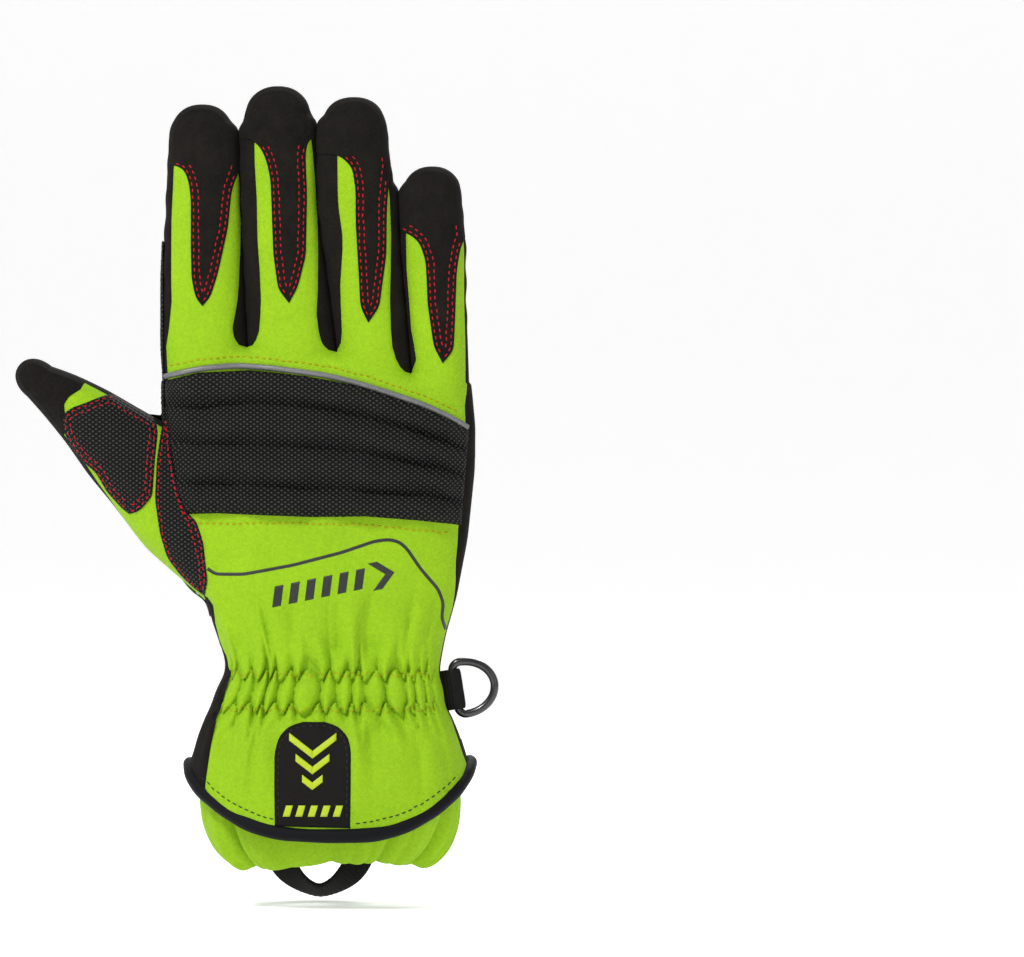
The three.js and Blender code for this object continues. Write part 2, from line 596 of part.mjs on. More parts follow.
function stripRegion(left, right, leftTip, rightTip, gapX, grow) {
  const low = KNUCKLE_LEVEL - STRIP_FOOT - grow;
  const leftTop = leftTip - 7 + grow;
  const rightTop = rightTip - 7 + grow;
  const inset = 1 - grow;
  const points = [
    new THREE.Vector2(centreLine(left, low) + inset, low),
    new THREE.Vector2(centreLine(right, low) - inset, low),
    new THREE.Vector2(centreLine(right, rightTop) - inset, rightTop),
    new THREE.Vector2(gapX + 0.01, rightTop),
    new THREE.Vector2(gapX - 0.01, leftTop),
    new THREE.Vector2(centreLine(left, leftTop) + inset, leftTop),
  ];
  return prism(points).intersect(halfSpace(palmSeam, -1, grow));
}

function take(region) {
  const piece = largest(rest.intersect(region(0)));
  rest = rest.subtract(region(GAP));
  return piece;
}

const thumbBack = take(thumbRegion);
const thumbSide = take(sideRegion);
const backPanel = take(backRegion);
const stripIndexMiddle = take((grow) => stripRegion(
  INDEX_ROWS, MIDDLE_ROWS, TIP_INDEX, TIP_MIDDLE, GAP_INDEX_MIDDLE, grow));
const stripMiddleRing = take((grow) => stripRegion(
  MIDDLE_ROWS, RING_ROWS, TIP_MIDDLE, TIP_RING, GAP_MIDDLE_RING, grow));
const stripRingLittle = take((grow) => stripRegion(
  RING_ROWS, LITTLE_ROWS, TIP_RING, TIP_LITTLE, GAP_RING_LITTLE, grow));
const palmPanel = largest(rest);

// Overlays lie on the shell with a small gap
const layer = (thickness) => body(GAP + thickness).subtract(clearance);
const capLayer = layer(SUEDE_CAP);
const gripLayer = layer(GRIP_PAD);
const patchLayer = layer(WOVEN_PATCH);
const padLayer = layer(HEEL_PAD);
const pipingLayer = layer(PIPING_HEIGHT);
const labelLayer = layer(LABEL_THICKNESS);

const overBack = (skin, rows, shift = 0) => largest(
  skin.intersect(prism(outline(rows))).intersect(halfSpace(backSeam, -1, shift)));
const overPalm = (skin, rows, shift = 0) => largest(
  skin.intersect(prism(outline(rows))).intersect(halfSpace(palmSeam, 1, shift)));
const overThumb = (skin, rows, side) => largest(
  skin.intersect(prism(outline(rows))).intersect(halfSpace(thumbSeam, side, side * GAP)));

// The strip along the index finger crosses the thumb crotch from the back to the palm
const guard = (grow) => prism(outline(INDEX_GUARD_BACK, grow)).intersect(halfSpace(flat(2), -1, 0))
  .add(prism(outline(INDEX_GUARD_PALM, grow)).intersect(halfSpace(flat(2), 1, 0)));
const indexGuard = largest(patchLayer.intersect(guard(0)));
const besideGuard = (shape) => largest(shape.subtract(guard(GAP)));

// Height of the back of the hand at a place, from the section rows
function backHeight(x, z) {
  const rows = HAND_ROWS.map((row) => ({ ...row, z: up(row.up) }));
  const high = rows.find((row) => row.z > z) ?? rows[rows.length - 1];
  const low = rows[Math.max(0, rows.indexOf(high) - 1)];
  const t = Math.min(1, Math.max(0, (z - low.z) / Math.max(1e-6, high.z - low.z)));
  const mix = (key) => low[key] * (1 - t) + high[key] * t;
  const middle = (across(mix("left")) + across(mix("right"))) / 2;
  const half = (across(mix("right")) - across(mix("left"))) / 2;
  const share = Math.min(0.995, Math.abs(x - middle) / half);
  return deep(mix("back")) * (1 - share ** 2.5) ** (1 / 2.5);
}

function knuckleGuard() {
  const steps = 3;
  const lines = ["top", "first", "second", "third", "bottom"];
  const columns = PAD_LINES.map((row) => {
    const points = [];
    for (let rib = 0; rib + 1 < lines.length; rib += 1) {
      for (let k = rib === 0 ? 0 : 1; k <= steps; k += 1) {
        const t = k / steps;
        const z = up(row[lines[rib]] * (1 - t) + row[lines[rib + 1]] * t);
        const swell = Math.sin(Math.PI * t) ** 0.7;
        points.push({ x: across(row.across), z, rise: PAD_EDGE + (PAD_RIB - PAD_EDGE) * swell });
      }
    }
    return points;
  });
  const rings = columns.map((points) => {
    const top = points.map((p) => new THREE.Vector3(p.x, -backHeight(p.x, p.z) - p.rise, p.z));
    const under = [points[points.length - 1], points[0]];
    return [...top, ...under.map((p) => new THREE.Vector3(p.x, 0, p.z))];
  });
  return largest(loft(rings).subtract(clearance).subtract(guard(GAP)));
}


// Line of the hem, which drops further at the back than at the palm
function hemPath(spread, lift) {
  return Array.from({ length: HEM_POINTS }, (_, i) => {
    const angle = (2 * Math.PI * i) / HEM_POINTS;
    const s = Math.sin(angle);
    const x = CUFF_HALF_WIDTH * power(Math.cos(angle), 2 / 2.25);
    const y = (s < 0 ? CUFF_BACK : CUFF_PALM) * power(s, 2 / 2.25);
    const fall = (s < 0 ? HEM_BACK_DROP : HEM_PALM_DROP) * Math.abs(s) ** (s < 0 ? 1.35 : 1);
    return new THREE.Vector3(x * spread + CUFF_SHIFT, y * spread, HEM_SIDE - fall + lift);
  });
}

function sweep(path, radius, count) {
  const rings = path.map((point, i) => {
    const after = path[(i + 1) % path.length];
    const before = path[(i + path.length - 1) % path.length];
    const way = after.clone().sub(before).normalize();
    const side = new THREE.Vector3(0, 0, 1).cross(way).normalize();
    const top = way.clone().cross(side).normalize();
    return Array.from({ length: count }, (_, k) => {
      const angle = (2 * Math.PI * k) / count;
      return point.clone()
        .addScaledVector(side, radius * Math.cos(angle))
        .addScaledVector(top, radius * Math.sin(angle));
    });
  });
  return loft(rings, true);
}

function innerCuff() {
  const count = 2 * INNER_CUFF_WAVES;
  const ring = (row, inset) => Array.from({ length: count }, (_, i) => {
    const angle = (2 * Math.PI * i) / count;
    const wave = row.wave * INNER_CUFF_WAVE * Math.sin(INNER_CUFF_WAVES * angle);
    const x = (CUFF_HALF_WIDTH * row.wide + wave - inset) * power(Math.cos(angle), 2 / 2.2);
    const reach = Math.sin(angle) < 0 ? CUFF_BACK : CUFF_PALM;
    const y = (reach * row.deep + wave - inset) * power(Math.sin(angle), 2 / 2.2);
    const z = up(row.up) - row.wave * INNER_CUFF_WAVE * 0.9 * Math.cos(INNER_CUFF_WAVES * angle);
    return new THREE.Vector3(x + CUFF_SHIFT, y, z);
  });
  const outer = INNER_CUFF_ROWS.map((row) => ring(row, 0));
  const inner = INNER_CUFF_ROWS.slice(0, -1).map((row) => ring(row, INNER_CUFF_WALL));
  return loft([...inner, ...outer.reverse()], true);
}

// Ring and tab share a frame whose axis is the straight bar of the ring
const barFrame = new THREE.Matrix4()
  .makeTranslation(ringX, RING_Y, RING_Z)
  .multiply(new THREE.Matrix4().makeRotationY(-radians(RING_LEAN)));
const moved = (shape, matrix) => shape.transform(matrix.elements.slice());

function dRing() {
  const half = RING_HEIGHT / 2 - RING_WIRE / 2;
  const path = [];
  const bar = 1;
  for (let i = 0; i <= bar; i += 1) {
    path.push(new THREE.Vector3(0, 0, (half - RING_CORNER) * (1 - (2 * i) / bar)));
  }
  const bend = 2;
  for (let i = 1; i <= bend; i += 1) {
    const angle = (Math.PI / 2) * (i / bend);
    path.push(new THREE.Vector3(
      RING_CORNER * (1 - Math.cos(angle)), 0, -(half - RING_CORNER) - RING_CORNER * Math.sin(angle)));
  }
  const arc = 10;
  for (let i = 1; i < arc; i += 1) {
    const angle = -Math.PI / 2 + (Math.PI * i) / arc;
    path.push(new THREE.Vector3(
      RING_CORNER + (RING_REACH - RING_CORNER) * Math.cos(angle), 0, half * Math.sin(angle)));
  }
  for (let i = 0; i < bend; i += 1) {
    const angle = (Math.PI / 2) * (1 - i / bend);
    path.push(new THREE.Vector3(
      RING_CORNER * (1 - Math.cos(angle)), 0, half - RING_CORNER + RING_CORNER * Math.sin(angle)));
  }
  const rings = path.map((point, i) => {
    const after = path[(i + 1) % path.length];
    const before = path[(i + path.length - 1) % path.length];
    const way = after.clone().sub(before).normalize();
    const side = new THREE.Vector3(0, 1, 0);
    const top = way.clone().cross(side);
    return Array.from({ length: 8 }, (_, k) => {
      const angle = (2 * Math.PI * (k + 0.5)) / 8;
      return point.clone()
        .addScaledVector(side, (RING_WIRE / 2) * Math.cos(angle))
        .addScaledVector(top, (RING_WIRE / 2) * Math.sin(angle));
    });
  });
  return moved(loft(rings, true), barFrame);
}

function ringTab() {
  const hole = RING_WIRE / 2 + BAR_CLEARANCE;
  const outer = hole + TAB_WEBBING;
  const shape = new THREE.Shape();
  const turn = radians(125);
  const steps = 12;
  for (let i = 0; i <= steps; i += 1) {
    const angle = -turn + (2 * turn * i) / steps;
    const x = outer * Math.cos(angle);
    const y = outer * Math.sin(angle);
    if (i === 0) shape.moveTo(x, y);
    else shape.lineTo(x, y);
  }
  shape.lineTo(-outer - 2, TAB_WEBBING);
  shape.lineTo(-outer - TAB_TAIL, TAB_WEBBING);
  shape.lineTo(-outer - TAB_TAIL, -TAB_WEBBING);
  shape.lineTo(-outer - 2, -TAB_WEBBING);
  shape.closePath();
  const tunnel = new THREE.Path();
  tunnel.absarc(0, 0, hole, 0, 2 * Math.PI, true);
  shape.holes.push(tunnel);
  const geometry = new THREE.ExtrudeGeometry(shape, { depth: TAB_WIDTH, bevelEnabled: false, curveSegments: 6 });
  geometry.translate(0, 0, -TAB_WIDTH / 2);
  return largest(moved(fromGeometry(geometry), barFrame).subtract(clearance));
}

function pullLoop() {
  const middle = (LOOP_LEFT + LOOP_RIGHT) / 2;
  const half = (LOOP_RIGHT - LOOP_LEFT) / 2;
  const count = 24;
  const bend = LOOP_BOTTOM + half * 1.15;
  const path = Array.from({ length: count + 1 }, (_, i) => {
    const t = i / count;
    if (t <= 0.25) return new THREE.Vector3(LOOP_RIGHT, LOOP_Y, LOOP_TOP + (bend - LOOP_TOP) * (t / 0.25));
    if (t >= 0.75) {
      return new THREE.Vector3(LOOP_LEFT, LOOP_Y, LOOP_TOP_LEFT + (bend - LOOP_TOP_LEFT) * ((1 - t) / 0.25));
    }
    const angle = Math.PI * ((t - 0.25) / 0.5);
    return new THREE.Vector3(
      middle + half * Math.cos(angle), LOOP_Y, bend + (LOOP_BOTTOM - bend) * Math.sin(angle));
  });
  const rings = path.map((point, i) => {
    const way = path[Math.min(i + 1, count)].clone().sub(path[Math.max(i - 1, 0)]).normalize();
    const flatWay = new THREE.Vector3(0, 1, 0);
    const plane = way.clone().cross(flatWay).normalize();
    const t = i / count;
    const twist = radians(LOOP_TWIST) * Math.sin(Math.PI * Math.min(1, Math.max(0, (t - 0.2) / 0.6))) ** 2;
    const wide = plane.clone().multiplyScalar(Math.cos(twist)).addScaledVector(flatWay, Math.sin(twist));
    const thick = way.clone().cross(wide).normalize();
    const rib = 1 + 0.12 * Math.cos(2 * Math.PI * LOOP_RIBS * t);
    const a = wide.clone().multiplyScalar(LOOP_BAND / 2);
    const b = thick.clone().multiplyScalar((LOOP_THICKNESS / 2) * rib);
    return [
      point.clone().sub(a).sub(b),
      point.clone().add(a).sub(b),
      point.clone().add(a).add(b),
      point.clone().sub(a).add(b),
    ];
  });
  return loft(rings);
}

// Materials
const cloth = { color: 0xa4de16, roughness: 0.9 };
const suede = { color: 0x262421, roughness: 0.95 };
const woven = { color: 0x2f2f2f, roughness: 0.9 };
const print = { color: 0x3a444c, roughness: 0.5 };
const reflective = { color: 0x8c8c8c, roughness: 0.4 };
const webbing = { color: 0x17171a, roughness: 0.8 };
const coated = { color: 0x0c0c0e, roughness: 0.3, metalness: 0.6 };

const group = new THREE.Group();
group.name = "rescue_glove";

function addPiece(name, shape, material) {
  const data = shape.getMesh();
  const geometry = new THREE.BufferGeometry();
  geometry.setAttribute("position", new THREE.BufferAttribute(Float32Array.from(data.vertProperties), 3));
  geometry.setIndex(new THREE.BufferAttribute(Uint32Array.from(data.triVerts), 1));
  geometry.computeVertexNormals();
  const mesh = new THREE.Mesh(geometry, new THREE.MeshStandardMaterial(material));
  mesh.name = name;
  group.add(mesh);
}

addPiece("back_panel", backPanel, cloth);
addPiece("palm_panel", palmPanel, suede);
addPiece("fourchette_index_middle", stripIndexMiddle, suede);
addPiece("fourchette_middle_ring", stripMiddleRing, suede);
addPiece("fourchette_ring_little", stripRingLittle, suede);
addPiece("thumb_back", thumbBack, cloth);
addPiece("thumb_side", thumbSide, suede);
addPiece("finger_cap_index", besideGuard(overBack(capLayer, INDEX_CAP)), suede);
addPiece("finger_cap_middle", overBack(capLayer, MIDDLE_CAP), suede);
addPiece("finger_cap_ring", overBack(capLayer, RING_CAP), suede);
addPiece("finger_cap_little", overBack(capLayer, LITTLE_CAP), suede);
addPiece("thumb_cap", overThumb(capLayer, THUMB_CAP, -1), suede);
addPiece("grip_tip_index", besideGuard(overPalm(gripLayer, INDEX_GRIP)), print);
addPiece("grip_tip_middle", overPalm(gripLayer, MIDDLE_GRIP), print);
addPiece("grip_tip_ring", overPalm(gripLayer, RING_GRIP), print);
addPiece("grip_tip_little", overPalm(gripLayer, LITTLE_GRIP), print);
addPiece("grip_tip_thumb", besideGuard(overThumb(gripLayer, THUMB_GRIP, 1)), print);
addPiece("knuckle_pad", knuckleGuard(), woven);
addPiece("reflective_piping", besideGuard(overBack(pipingLayer, PIPING)), reflective);
addPiece("index_guard", indexGuard, woven);
addPiece("thumb_patch", besideGuard(overThumb(patchLayer, THUMB_PATCH, -1)), woven);
addPiece("palm_patch", besideGuard(largest(patchLayer.intersect(prism(outline(PALM_PATCH)))
  .intersect(halfSpace(flat(1), 1, 0)))), woven);
addPiece("heel_patch_outer", largest(padLayer.intersect(prism(outline(HEEL_OUTER)))
  .intersect(halfSpace(flat(1), 1, 0))), woven);
addPiece("heel_patch_inner", largest(padLayer.intersect(prism(outline(HEEL_INNER)))
  .intersect(halfSpace(flat(1), 1, 0))), woven);
addPiece("cuff_label", overBack(labelLayer, LABEL), suede);
addPiece("cuff_binding", sweep(hemPath(1, 0), BINDING_RADIUS, 8), webbing);
addPiece("inner_cuff", innerCuff(), cloth);
addPiece("ring_tab", ringTab(), webbing);
addPiece("d_ring", dRing(), coated);
addPiece("pull_loop", pullLoop(), webbing);

export default group;
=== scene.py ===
"""Rescue glove, right hand: cloth shell, suede tips, woven guards, gathered cuff, ring and loop.

Lengths in the tables are millimetres in the row frame: x across (thumb at -x), z along the fingers,
and heights are measured outwards from the middle plane, to the back (-y) or to the palm (+y).
"""

import math

import bpy
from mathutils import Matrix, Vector
import numpy as np


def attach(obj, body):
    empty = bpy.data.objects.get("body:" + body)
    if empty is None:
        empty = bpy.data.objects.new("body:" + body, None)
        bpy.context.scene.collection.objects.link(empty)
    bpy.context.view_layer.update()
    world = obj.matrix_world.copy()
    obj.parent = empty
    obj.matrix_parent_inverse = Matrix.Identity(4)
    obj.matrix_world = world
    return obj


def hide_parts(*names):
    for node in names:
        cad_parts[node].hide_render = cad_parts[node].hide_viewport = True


bl_info = {
    "name": "Rescue glove",
    "version": (1, 0, 0),
    "blender": (4, 5, 0),
    "location": "View3D > Sidebar > Glove",
    "description": "Builds a rescue glove around its fixed frame",
    "category": "Add Mesh",
}

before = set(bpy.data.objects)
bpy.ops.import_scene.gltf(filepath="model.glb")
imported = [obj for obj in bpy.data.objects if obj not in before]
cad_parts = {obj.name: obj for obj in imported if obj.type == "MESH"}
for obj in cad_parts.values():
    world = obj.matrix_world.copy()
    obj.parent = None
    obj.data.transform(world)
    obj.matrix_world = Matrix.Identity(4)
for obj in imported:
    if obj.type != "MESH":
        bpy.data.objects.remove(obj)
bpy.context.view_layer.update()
BACK, PALM = -1, 1
MM = 0.001
POWER = 2.3
HAND_POWER = 2.5
STRIP_EDGE = 1.8
# how fast a height falls outside its own outline, so that the outline stays sharp
OUTSIDE_FALL = 60
# heights of the two elastic rows of the wrist
ELASTIC_ROWS = (6.2, -6.4)
# distances of the two rows of stitches from a panel's rim, and the groove under each row
STITCH_ROWS = (1.1, 2.9)
GROOVE_DEPTH, GROOVE_WIDTH = 0.28, 0.42
# the hem: half width, shift to the side, height at the sides, sag of the back and of the palm,
# depth to the back and to the palm, power of its oval
HEM_HALF, HEM_SHIFT, HEM_TOP = 50.8, 1.1, 26.5
HEM_BACK_SAG, HEM_PALM_SAG = 25.6, 12
HEM_BACK_DEPTH, HEM_PALM_DEPTH, HEM_POWER = 32.0, 28.4, 2.25
# top of the guard along the index finger
GUARD_TOP = 163.4

# ---------------------------------------------------------------- form of the hand


class Curve:
    """A table of values along a length, rounded off by a Gaussian of the given width."""

    def __init__(self, at, values, blur=2.5):
        order = np.argsort(at)
        at, values = np.asarray(at, float)[order], np.asarray(values, float)[order]
        self.grid = np.arange(at[0] - 12, at[-1] + 12, 0.5)
        raw = np.interp(self.grid, at, values)
        slope = (values[1] - values[0]) / (at[1] - at[0])
        raw = np.where(self.grid < at[0], values[0] + slope * (self.grid - at[0]), raw)
        slope = (values[-1] - values[-2]) / (at[-1] - at[-2])
        raw = np.where(self.grid > at[-1], values[-1] + slope * (self.grid - at[-1]), raw)
        reach = np.arange(-4 * blur, 4 * blur + 0.5, 0.5)
        kernel = np.exp(-0.5 * (reach / blur) ** 2)
        padded = np.pad(raw, len(reach) // 2, mode="reflect", reflect_type="odd")
        self.values = np.convolve(padded, kernel / kernel.sum(), mode="valid")[: len(raw)]

    def __call__(self, where):
        return np.interp(where, self.grid, self.values)


def unit(vectors, least=0.0):
    """Each vector over its own length, which counts as at least the given one."""
    return vectors / np.maximum(np.linalg.norm(vectors, axis=-1, keepdims=True), least)


def travel(line):
    """Distance gone along a polyline at each of its points: the running sum of its lengths."""
    return np.concatenate([[0], np.cumsum(np.linalg.norm(np.diff(line, axis=0), axis=1))])


def crowded(count, even):
    """Shares from 0 to 1 that crowd towards both ends: an even part plus a half cosine wave."""
    c = np.linspace(0, 1, count)
    return even * c + (1 - even) * (0.5 - 0.5 * np.cos(np.pi * c))


def smooth_max(a, b, width):
    """The larger value, plus width/4 times the square of how far within the width the two meet."""
    near = np.clip(width - np.abs(a - b), 0, None) / width
    return np.maximum(a, b) + near * near * width / 4


def step(x, low, high):
    """Smooth step: 3t^2 - 2t^3, where t runs from 0 at the low value to 1 at the high one."""
    t = np.clip((x - low) / (high - low), 0, 1)
    return t * t * (3 - 2 * t)


def signed(base, exponent):
    """Power of the magnitude, with the sign of the base."""
    return np.sign(base) * np.abs(base) ** exponent


def bulge(t, power=POWER):
    """Height share of a rounded section at the share t of its half width: |t|^p + h^p = 1."""
    return np.clip(1 - np.abs(t) ** power, 0, 1) ** (1 / power)


# up, left, right, back depth, palm depth
HAND = np.array([
    (-66, -50, 47, 33, 30),
    (-40, -52.3, 50.3, 32.6, 29.6),
    (-26, -52, 49.5, 29.7, 26.7),
    (-15, -49, 46, 25.5, 23.5),
    (-5.5, -44.3, 41, 20.8, 20.2),
    (0.5, -42.4, 40.6, 21.6, 21),
    (6, -39.3, 38.7, 19.4, 19.2),
    (10.5, -39, 39.2, 19.6, 19.6),
    (20, -42, 41, 19, 20),
    (34, -46.8, 45, 18.2, 20.4),
    (55, -52.2, 49, 17.3, 20.8),
    (80, -58.5, 51.6, 16.6, 20),
    (96, -61.3, 51.8, 16, 18.4),
    (109, -61.6, 50.4, 14.8, 15.8),
    (118, -60, 48.4, 12.2, 12.4),
])
HAND_LEFT, HAND_RIGHT, HAND_BACK, HAND_PALM = (Curve(HAND[:, 0], HAND[:, k], 2.0) for k in range(1, 5))
# crotches between the fingers: across, up
CROTCH_X = np.array([-31.0, 1.8, 28.5])
CROTCH_Z = np.array([125.0, 123.2, 115.4])
# lines that divide the hand below the crotches and follow the finger gaps above them: up, across
GAPS = [
    Curve(*zip(*[(-60, -26), (0, -21), (60, -27), (124, -30.9), (150, -32.1), (178, -33.6), (225, -34.0)])),
    Curve(*zip(*[(-60, -1), (0, -1), (60, -1), (123, 1.8), (150, -2.0), (178, -5.8), (225, -6.2)])),
    Curve(*zip(*[(-60, 23), (0, 19), (60, 23), (115, 28.5), (150, 25.2), (178, 23.4), (225, 22.4)])),
]
FINGERS = [
    {
        "tip": 213.2,
        "rows": [
            (94.5, -60, -29.4, 12, 12.5), (125, -62, -31.3, 12.6, 13.2), (150.8, -62, -32.7, 11.8, 12.2),
            (176.3, -60.9, -34.1, 11.2, 11.4), (197, -60, -35.6, 10.4, 10.4)
        ]
    },
    {
        "tip": 219.9,
        "rows": [
            (94.5, -26.5, 1.1, 12, 12.5), (123.2, -30.4, 1.4, 13, 13.4), (150.8, -32, -2.5, 12.2, 12.4),
            (176.3, -33.1, -6.5, 11.6, 11.6), (202.8, -32.9, -7.5, 10.6, 10.6)
        ]
    },
    {
        "tip": 215.9,
        "rows": [
            (94.5, 4.7, 30.9, 12, 12.5), (120, 2.2, 27.8, 12.8, 13.2), (150.8, -1.7, 25.2, 12, 12.2),
            (176.3, -5.3, 22.9, 11.4, 11.4), (199.2, -5.1, 20, 10.6, 10.6)
        ]
    },
    {
        "tip": 190.5,
        "rows": [
            (90.9, 33.1, 50.2, 11, 11.5), (115.2, 28.8, 49.4, 11.6, 12), (141.8, 26.4, 48.5, 11, 11.2),
            (161.8, 24.6, 48.4, 10.6, 10.6), (177, 25.1, 46.9, 9.8, 9.8)
        ]
    },
]
CURL, CURL_START, CURL_END = 7.0, 120.0, 219.9


def mid_y(z):
    """Curl of the fingers: their middle moves to the palm with the square of the height gone."""
    return CURL * np.clip((z - CURL_START) / (CURL_END - CURL_START), 0, None) ** 2


class Finger:
    """A rounded tube: its outline, depths and dome as curves of height."""

    def __init__(self, rows, tip):
        rows = np.array(rows)
        self.base, self.tip, self.beside = rows[:, 0].max(), tip, []
        self.left, self.right, self.back, self.palm = (
            Curve(rows[:, 0], rows[:, k], 3.0) for k in range(1, 5)
        )

    def dome(self, z):
        """Share of the section left at a height: 1 below the dome, 0 at the tip."""
        t = np.clip((z - self.base) / (self.tip - self.base), 0, 1)
        return np.clip(1 - t ** 2.4, 0, 1) ** (1 / 2.4)

    def outline(self, z):
        """Left and right: the middle less and plus half the width, shrunk by the dome."""
        low = np.minimum(z, self.base)
        middle = (self.left(low) + self.right(low)) / 2
        half = (self.right(low) - self.left(low)) / 2 * self.dome(z)
        return middle - half, middle + half

    def edges(self, z):
        """The outline, widened until it meets the neighbouring fingers where they lie close."""
        left, right = self.outline(z)
        for other in self.beside:
            near, far = other.outline(z)
            if far.mean() > right.mean():
                gap = near - right
                right = right + np.clip(gap / 2 + 0.3, 0, 2.2) * (1 - step(gap, 2.6, 5.0))
            else:
                gap = left - far
                left = left - np.clip(gap / 2 + 0.3, 0, 2.2) * (1 - step(gap, 2.6, 5.0))
        return left, right

    def height(self, x, z, side):
        """Depth times the rounded section at x, falling off outside it, plus the curl."""
        low = np.minimum(z, self.base)
        left, right = self.edges(z)
        middle, half = (left + right) / 2, np.maximum((right - left) / 2, 1e-3)
        depth = (self.back if side == BACK else self.palm)(low) * self.dome(z)
        depth = depth * step(z, 72, 112)
        share = (x - middle) / half
        inside = depth * bulge(share)
        return np.where(np.abs(share) < 1, inside, -OUTSIDE_FALL * (np.abs(share) - 1)) + side * mid_y(z)


FINGER = [Finger(row["rows"], row["tip"]) for row in FINGERS]
for place, finger in enumerate(FINGER):
    finger.beside = [FINGER[k] for k in (place - 1, place + 1) if 0 <= k < 4]

# thumb stations: across, up, half width, half depth, middle depth
THUMB = np.array(
    [
        (-40.7, 57.4, 22.5, 15.5, 3), (-54.9, 68.3, 21.4, 15.8, 3.5), (-69.4, 81.8, 17.8, 14.2, 4.5),
        (-79.6, 90.1, 15.3, 13, 5.5), (-89.8, 99.6, 12.2, 12, 6.5), (-100, 107.6, 9.3, 10.8, 7.5),
        (-107.2, 112.3, 7.1, 9.6, 8.2)
    ]
)
THUMB_ROOT = THUMB[0, :2]
THUMB_END = np.array((-113.8, 117))
THUMB_WAY = (THUMB_END - THUMB_ROOT) / np.linalg.norm(THUMB_END - THUMB_ROOT)
THUMB_SIDE = np.array([-THUMB_WAY[1], THUMB_WAY[0]]) * -1
THUMB_AT = (THUMB[:, :2] - THUMB_ROOT) @ THUMB_WAY
THUMB_OFF, THUMB_WIDE, THUMB_DEEP, THUMB_MID = (
    Curve(THUMB_AT, v, 3.0)
    for v in ((THUMB[:, :2] - THUMB_ROOT) @ THUMB_SIDE, THUMB[:, 2], THUMB[:, 3], THUMB[:, 4])
)
THUMB_BASE = THUMB_AT[-1]
THUMB_TIP = THUMB_BASE + 9.5


def thumb_dome(s):
    """Share of the thumb's section left at s along it: a rounded end, 1 before it, 0 at the tip."""
    t = np.clip((s - THUMB_BASE) / (THUMB_TIP - THUMB_BASE), 0, 1)
    return np.clip(1 - t ** 2.2, 0, 1) ** (1 / 2.1)


def thumb_section(s):
    """Offset, half width, depth and middle of the thumb at s, the sizes shrunk by the dome."""
    low = np.minimum(s, THUMB_BASE)
    dome = thumb_dome(s)
    return THUMB_OFF(low), THUMB_WIDE(low) * dome, THUMB_DEEP(low) * dome, THUMB_MID(low)


def thumb_height(x, z, side):
    """Depth times the rounded section, measured across the thumb's own line, faded at its root."""
    s = (x - THUMB_ROOT[0]) * THUMB_WAY[0] + (z - THUMB_ROOT[1]) * THUMB_WAY[1]
    off = (x - THUMB_ROOT[0]) * THUMB_SIDE[0] + (z - THUMB_ROOT[1]) * THUMB_SIDE[1]
    centre, wide, deep, mid = thumb_section(s)
    share = (off - centre) / np.maximum(wide, 1e-3)
    fade = step(s, -18, -4)
    height = deep * bulge(share) * fade
    return np.where(
        (np.abs(share) < 1) & (s < THUMB_TIP), height, -OUTSIDE_FALL * np.abs(np.abs(share) - 1)
    ) + side * mid * fade


def gathers(x, z, side):
    """Folds of the wrist: lens-shaped tufts between the elastic rows, tongues half a count aside
    that widen above and below them, and broad folds of one sine over two and four counts."""
    left, right = HAND_LEFT(z), HAND_RIGHT(z)
    share = np.clip((x - (left + right) / 2) / ((right - left) / 2), -1, 1)
    arc = np.arcsin(share) * 38 + side * 1.7
    count = arc / 6.1 + 0.22 * np.sin(arc * 0.23 + 1.1 * side) + 0.1 * np.sin(arc * 0.61 + 2)
    upper, lower = ELASTIC_ROWS
    wide = np.abs(np.sin(np.pi * (count * 0.5 + 0.08 * np.sin(count * 1.7)))) ** 0.8
    broad = np.abs(np.sin(np.pi * (count * 0.25 + 0.15 * np.sin(count * 0.9) + 0.2)))
    inner = np.abs(count - np.floor(count) - 0.5)
    outer = np.abs(count + 0.5 - np.floor(count + 0.5) - 0.5)
    lens = 0.5 * np.clip(1 - ((z - (upper + lower) / 2) / 8.2) ** 2, 1e-4, 1)
    tuft = 3.3 * np.clip(1 - (inner / lens) ** 2, 0, 1) ** 0.72
    tuft = tuft * (np.abs(z - (upper + lower) / 2) < 8)
    long = 1 + 0.35 * np.sin(count * 2.3 + side)
    reach = np.clip((z - upper + 2.6) / (7.0 * long), 1e-4, 1)
    upward = 3.4 * np.clip(
        1 - (outer / (0.5 * reach ** 0.75)) ** 2, 0, 1
    ) ** 0.72 * (1 - step(z, upper + 3, upper + 15 * long))
    upward = upward * (z > upper - 2.5)
    reach = np.clip((lower + 2.6 - z) / (7.0 * long), 1e-4, 1)
    downward = 3.4 * np.clip(
        1 - (outer / (0.5 * reach ** 0.75)) ** 2, 0, 1
    ) ** 0.72 * step(z, lower - 15 * long, lower - 3)
    downward = downward * (z < lower + 2.5)
    far_above = step(z, upper + 1, upper + 9) * (1 - step(z, upper + 10, upper + 36))
    far_below = (1 - step(z, lower - 9, lower - 1)) * step(z, lower - 40, lower - 8)
    rise = np.maximum(
        np.maximum(tuft, upward), downward
    ) - 1.9 * step(z, lower - 16, lower - 4) * (1 - step(z, upper + 4, upper + 16))
    rise = rise + 2.8 * (far_above + far_below) * (wide - 0.6)
    rise = rise + 2.4 * (far_above + 1.1 * far_below) * (broad - 0.6)
    if side == BACK:
        rise = rise * (1 - 0.85 * step(-z, 8, 12) * (1 - step(np.abs(x + 6.5), 13, 18)))
    return rise * (1 - np.abs(share) ** 7)


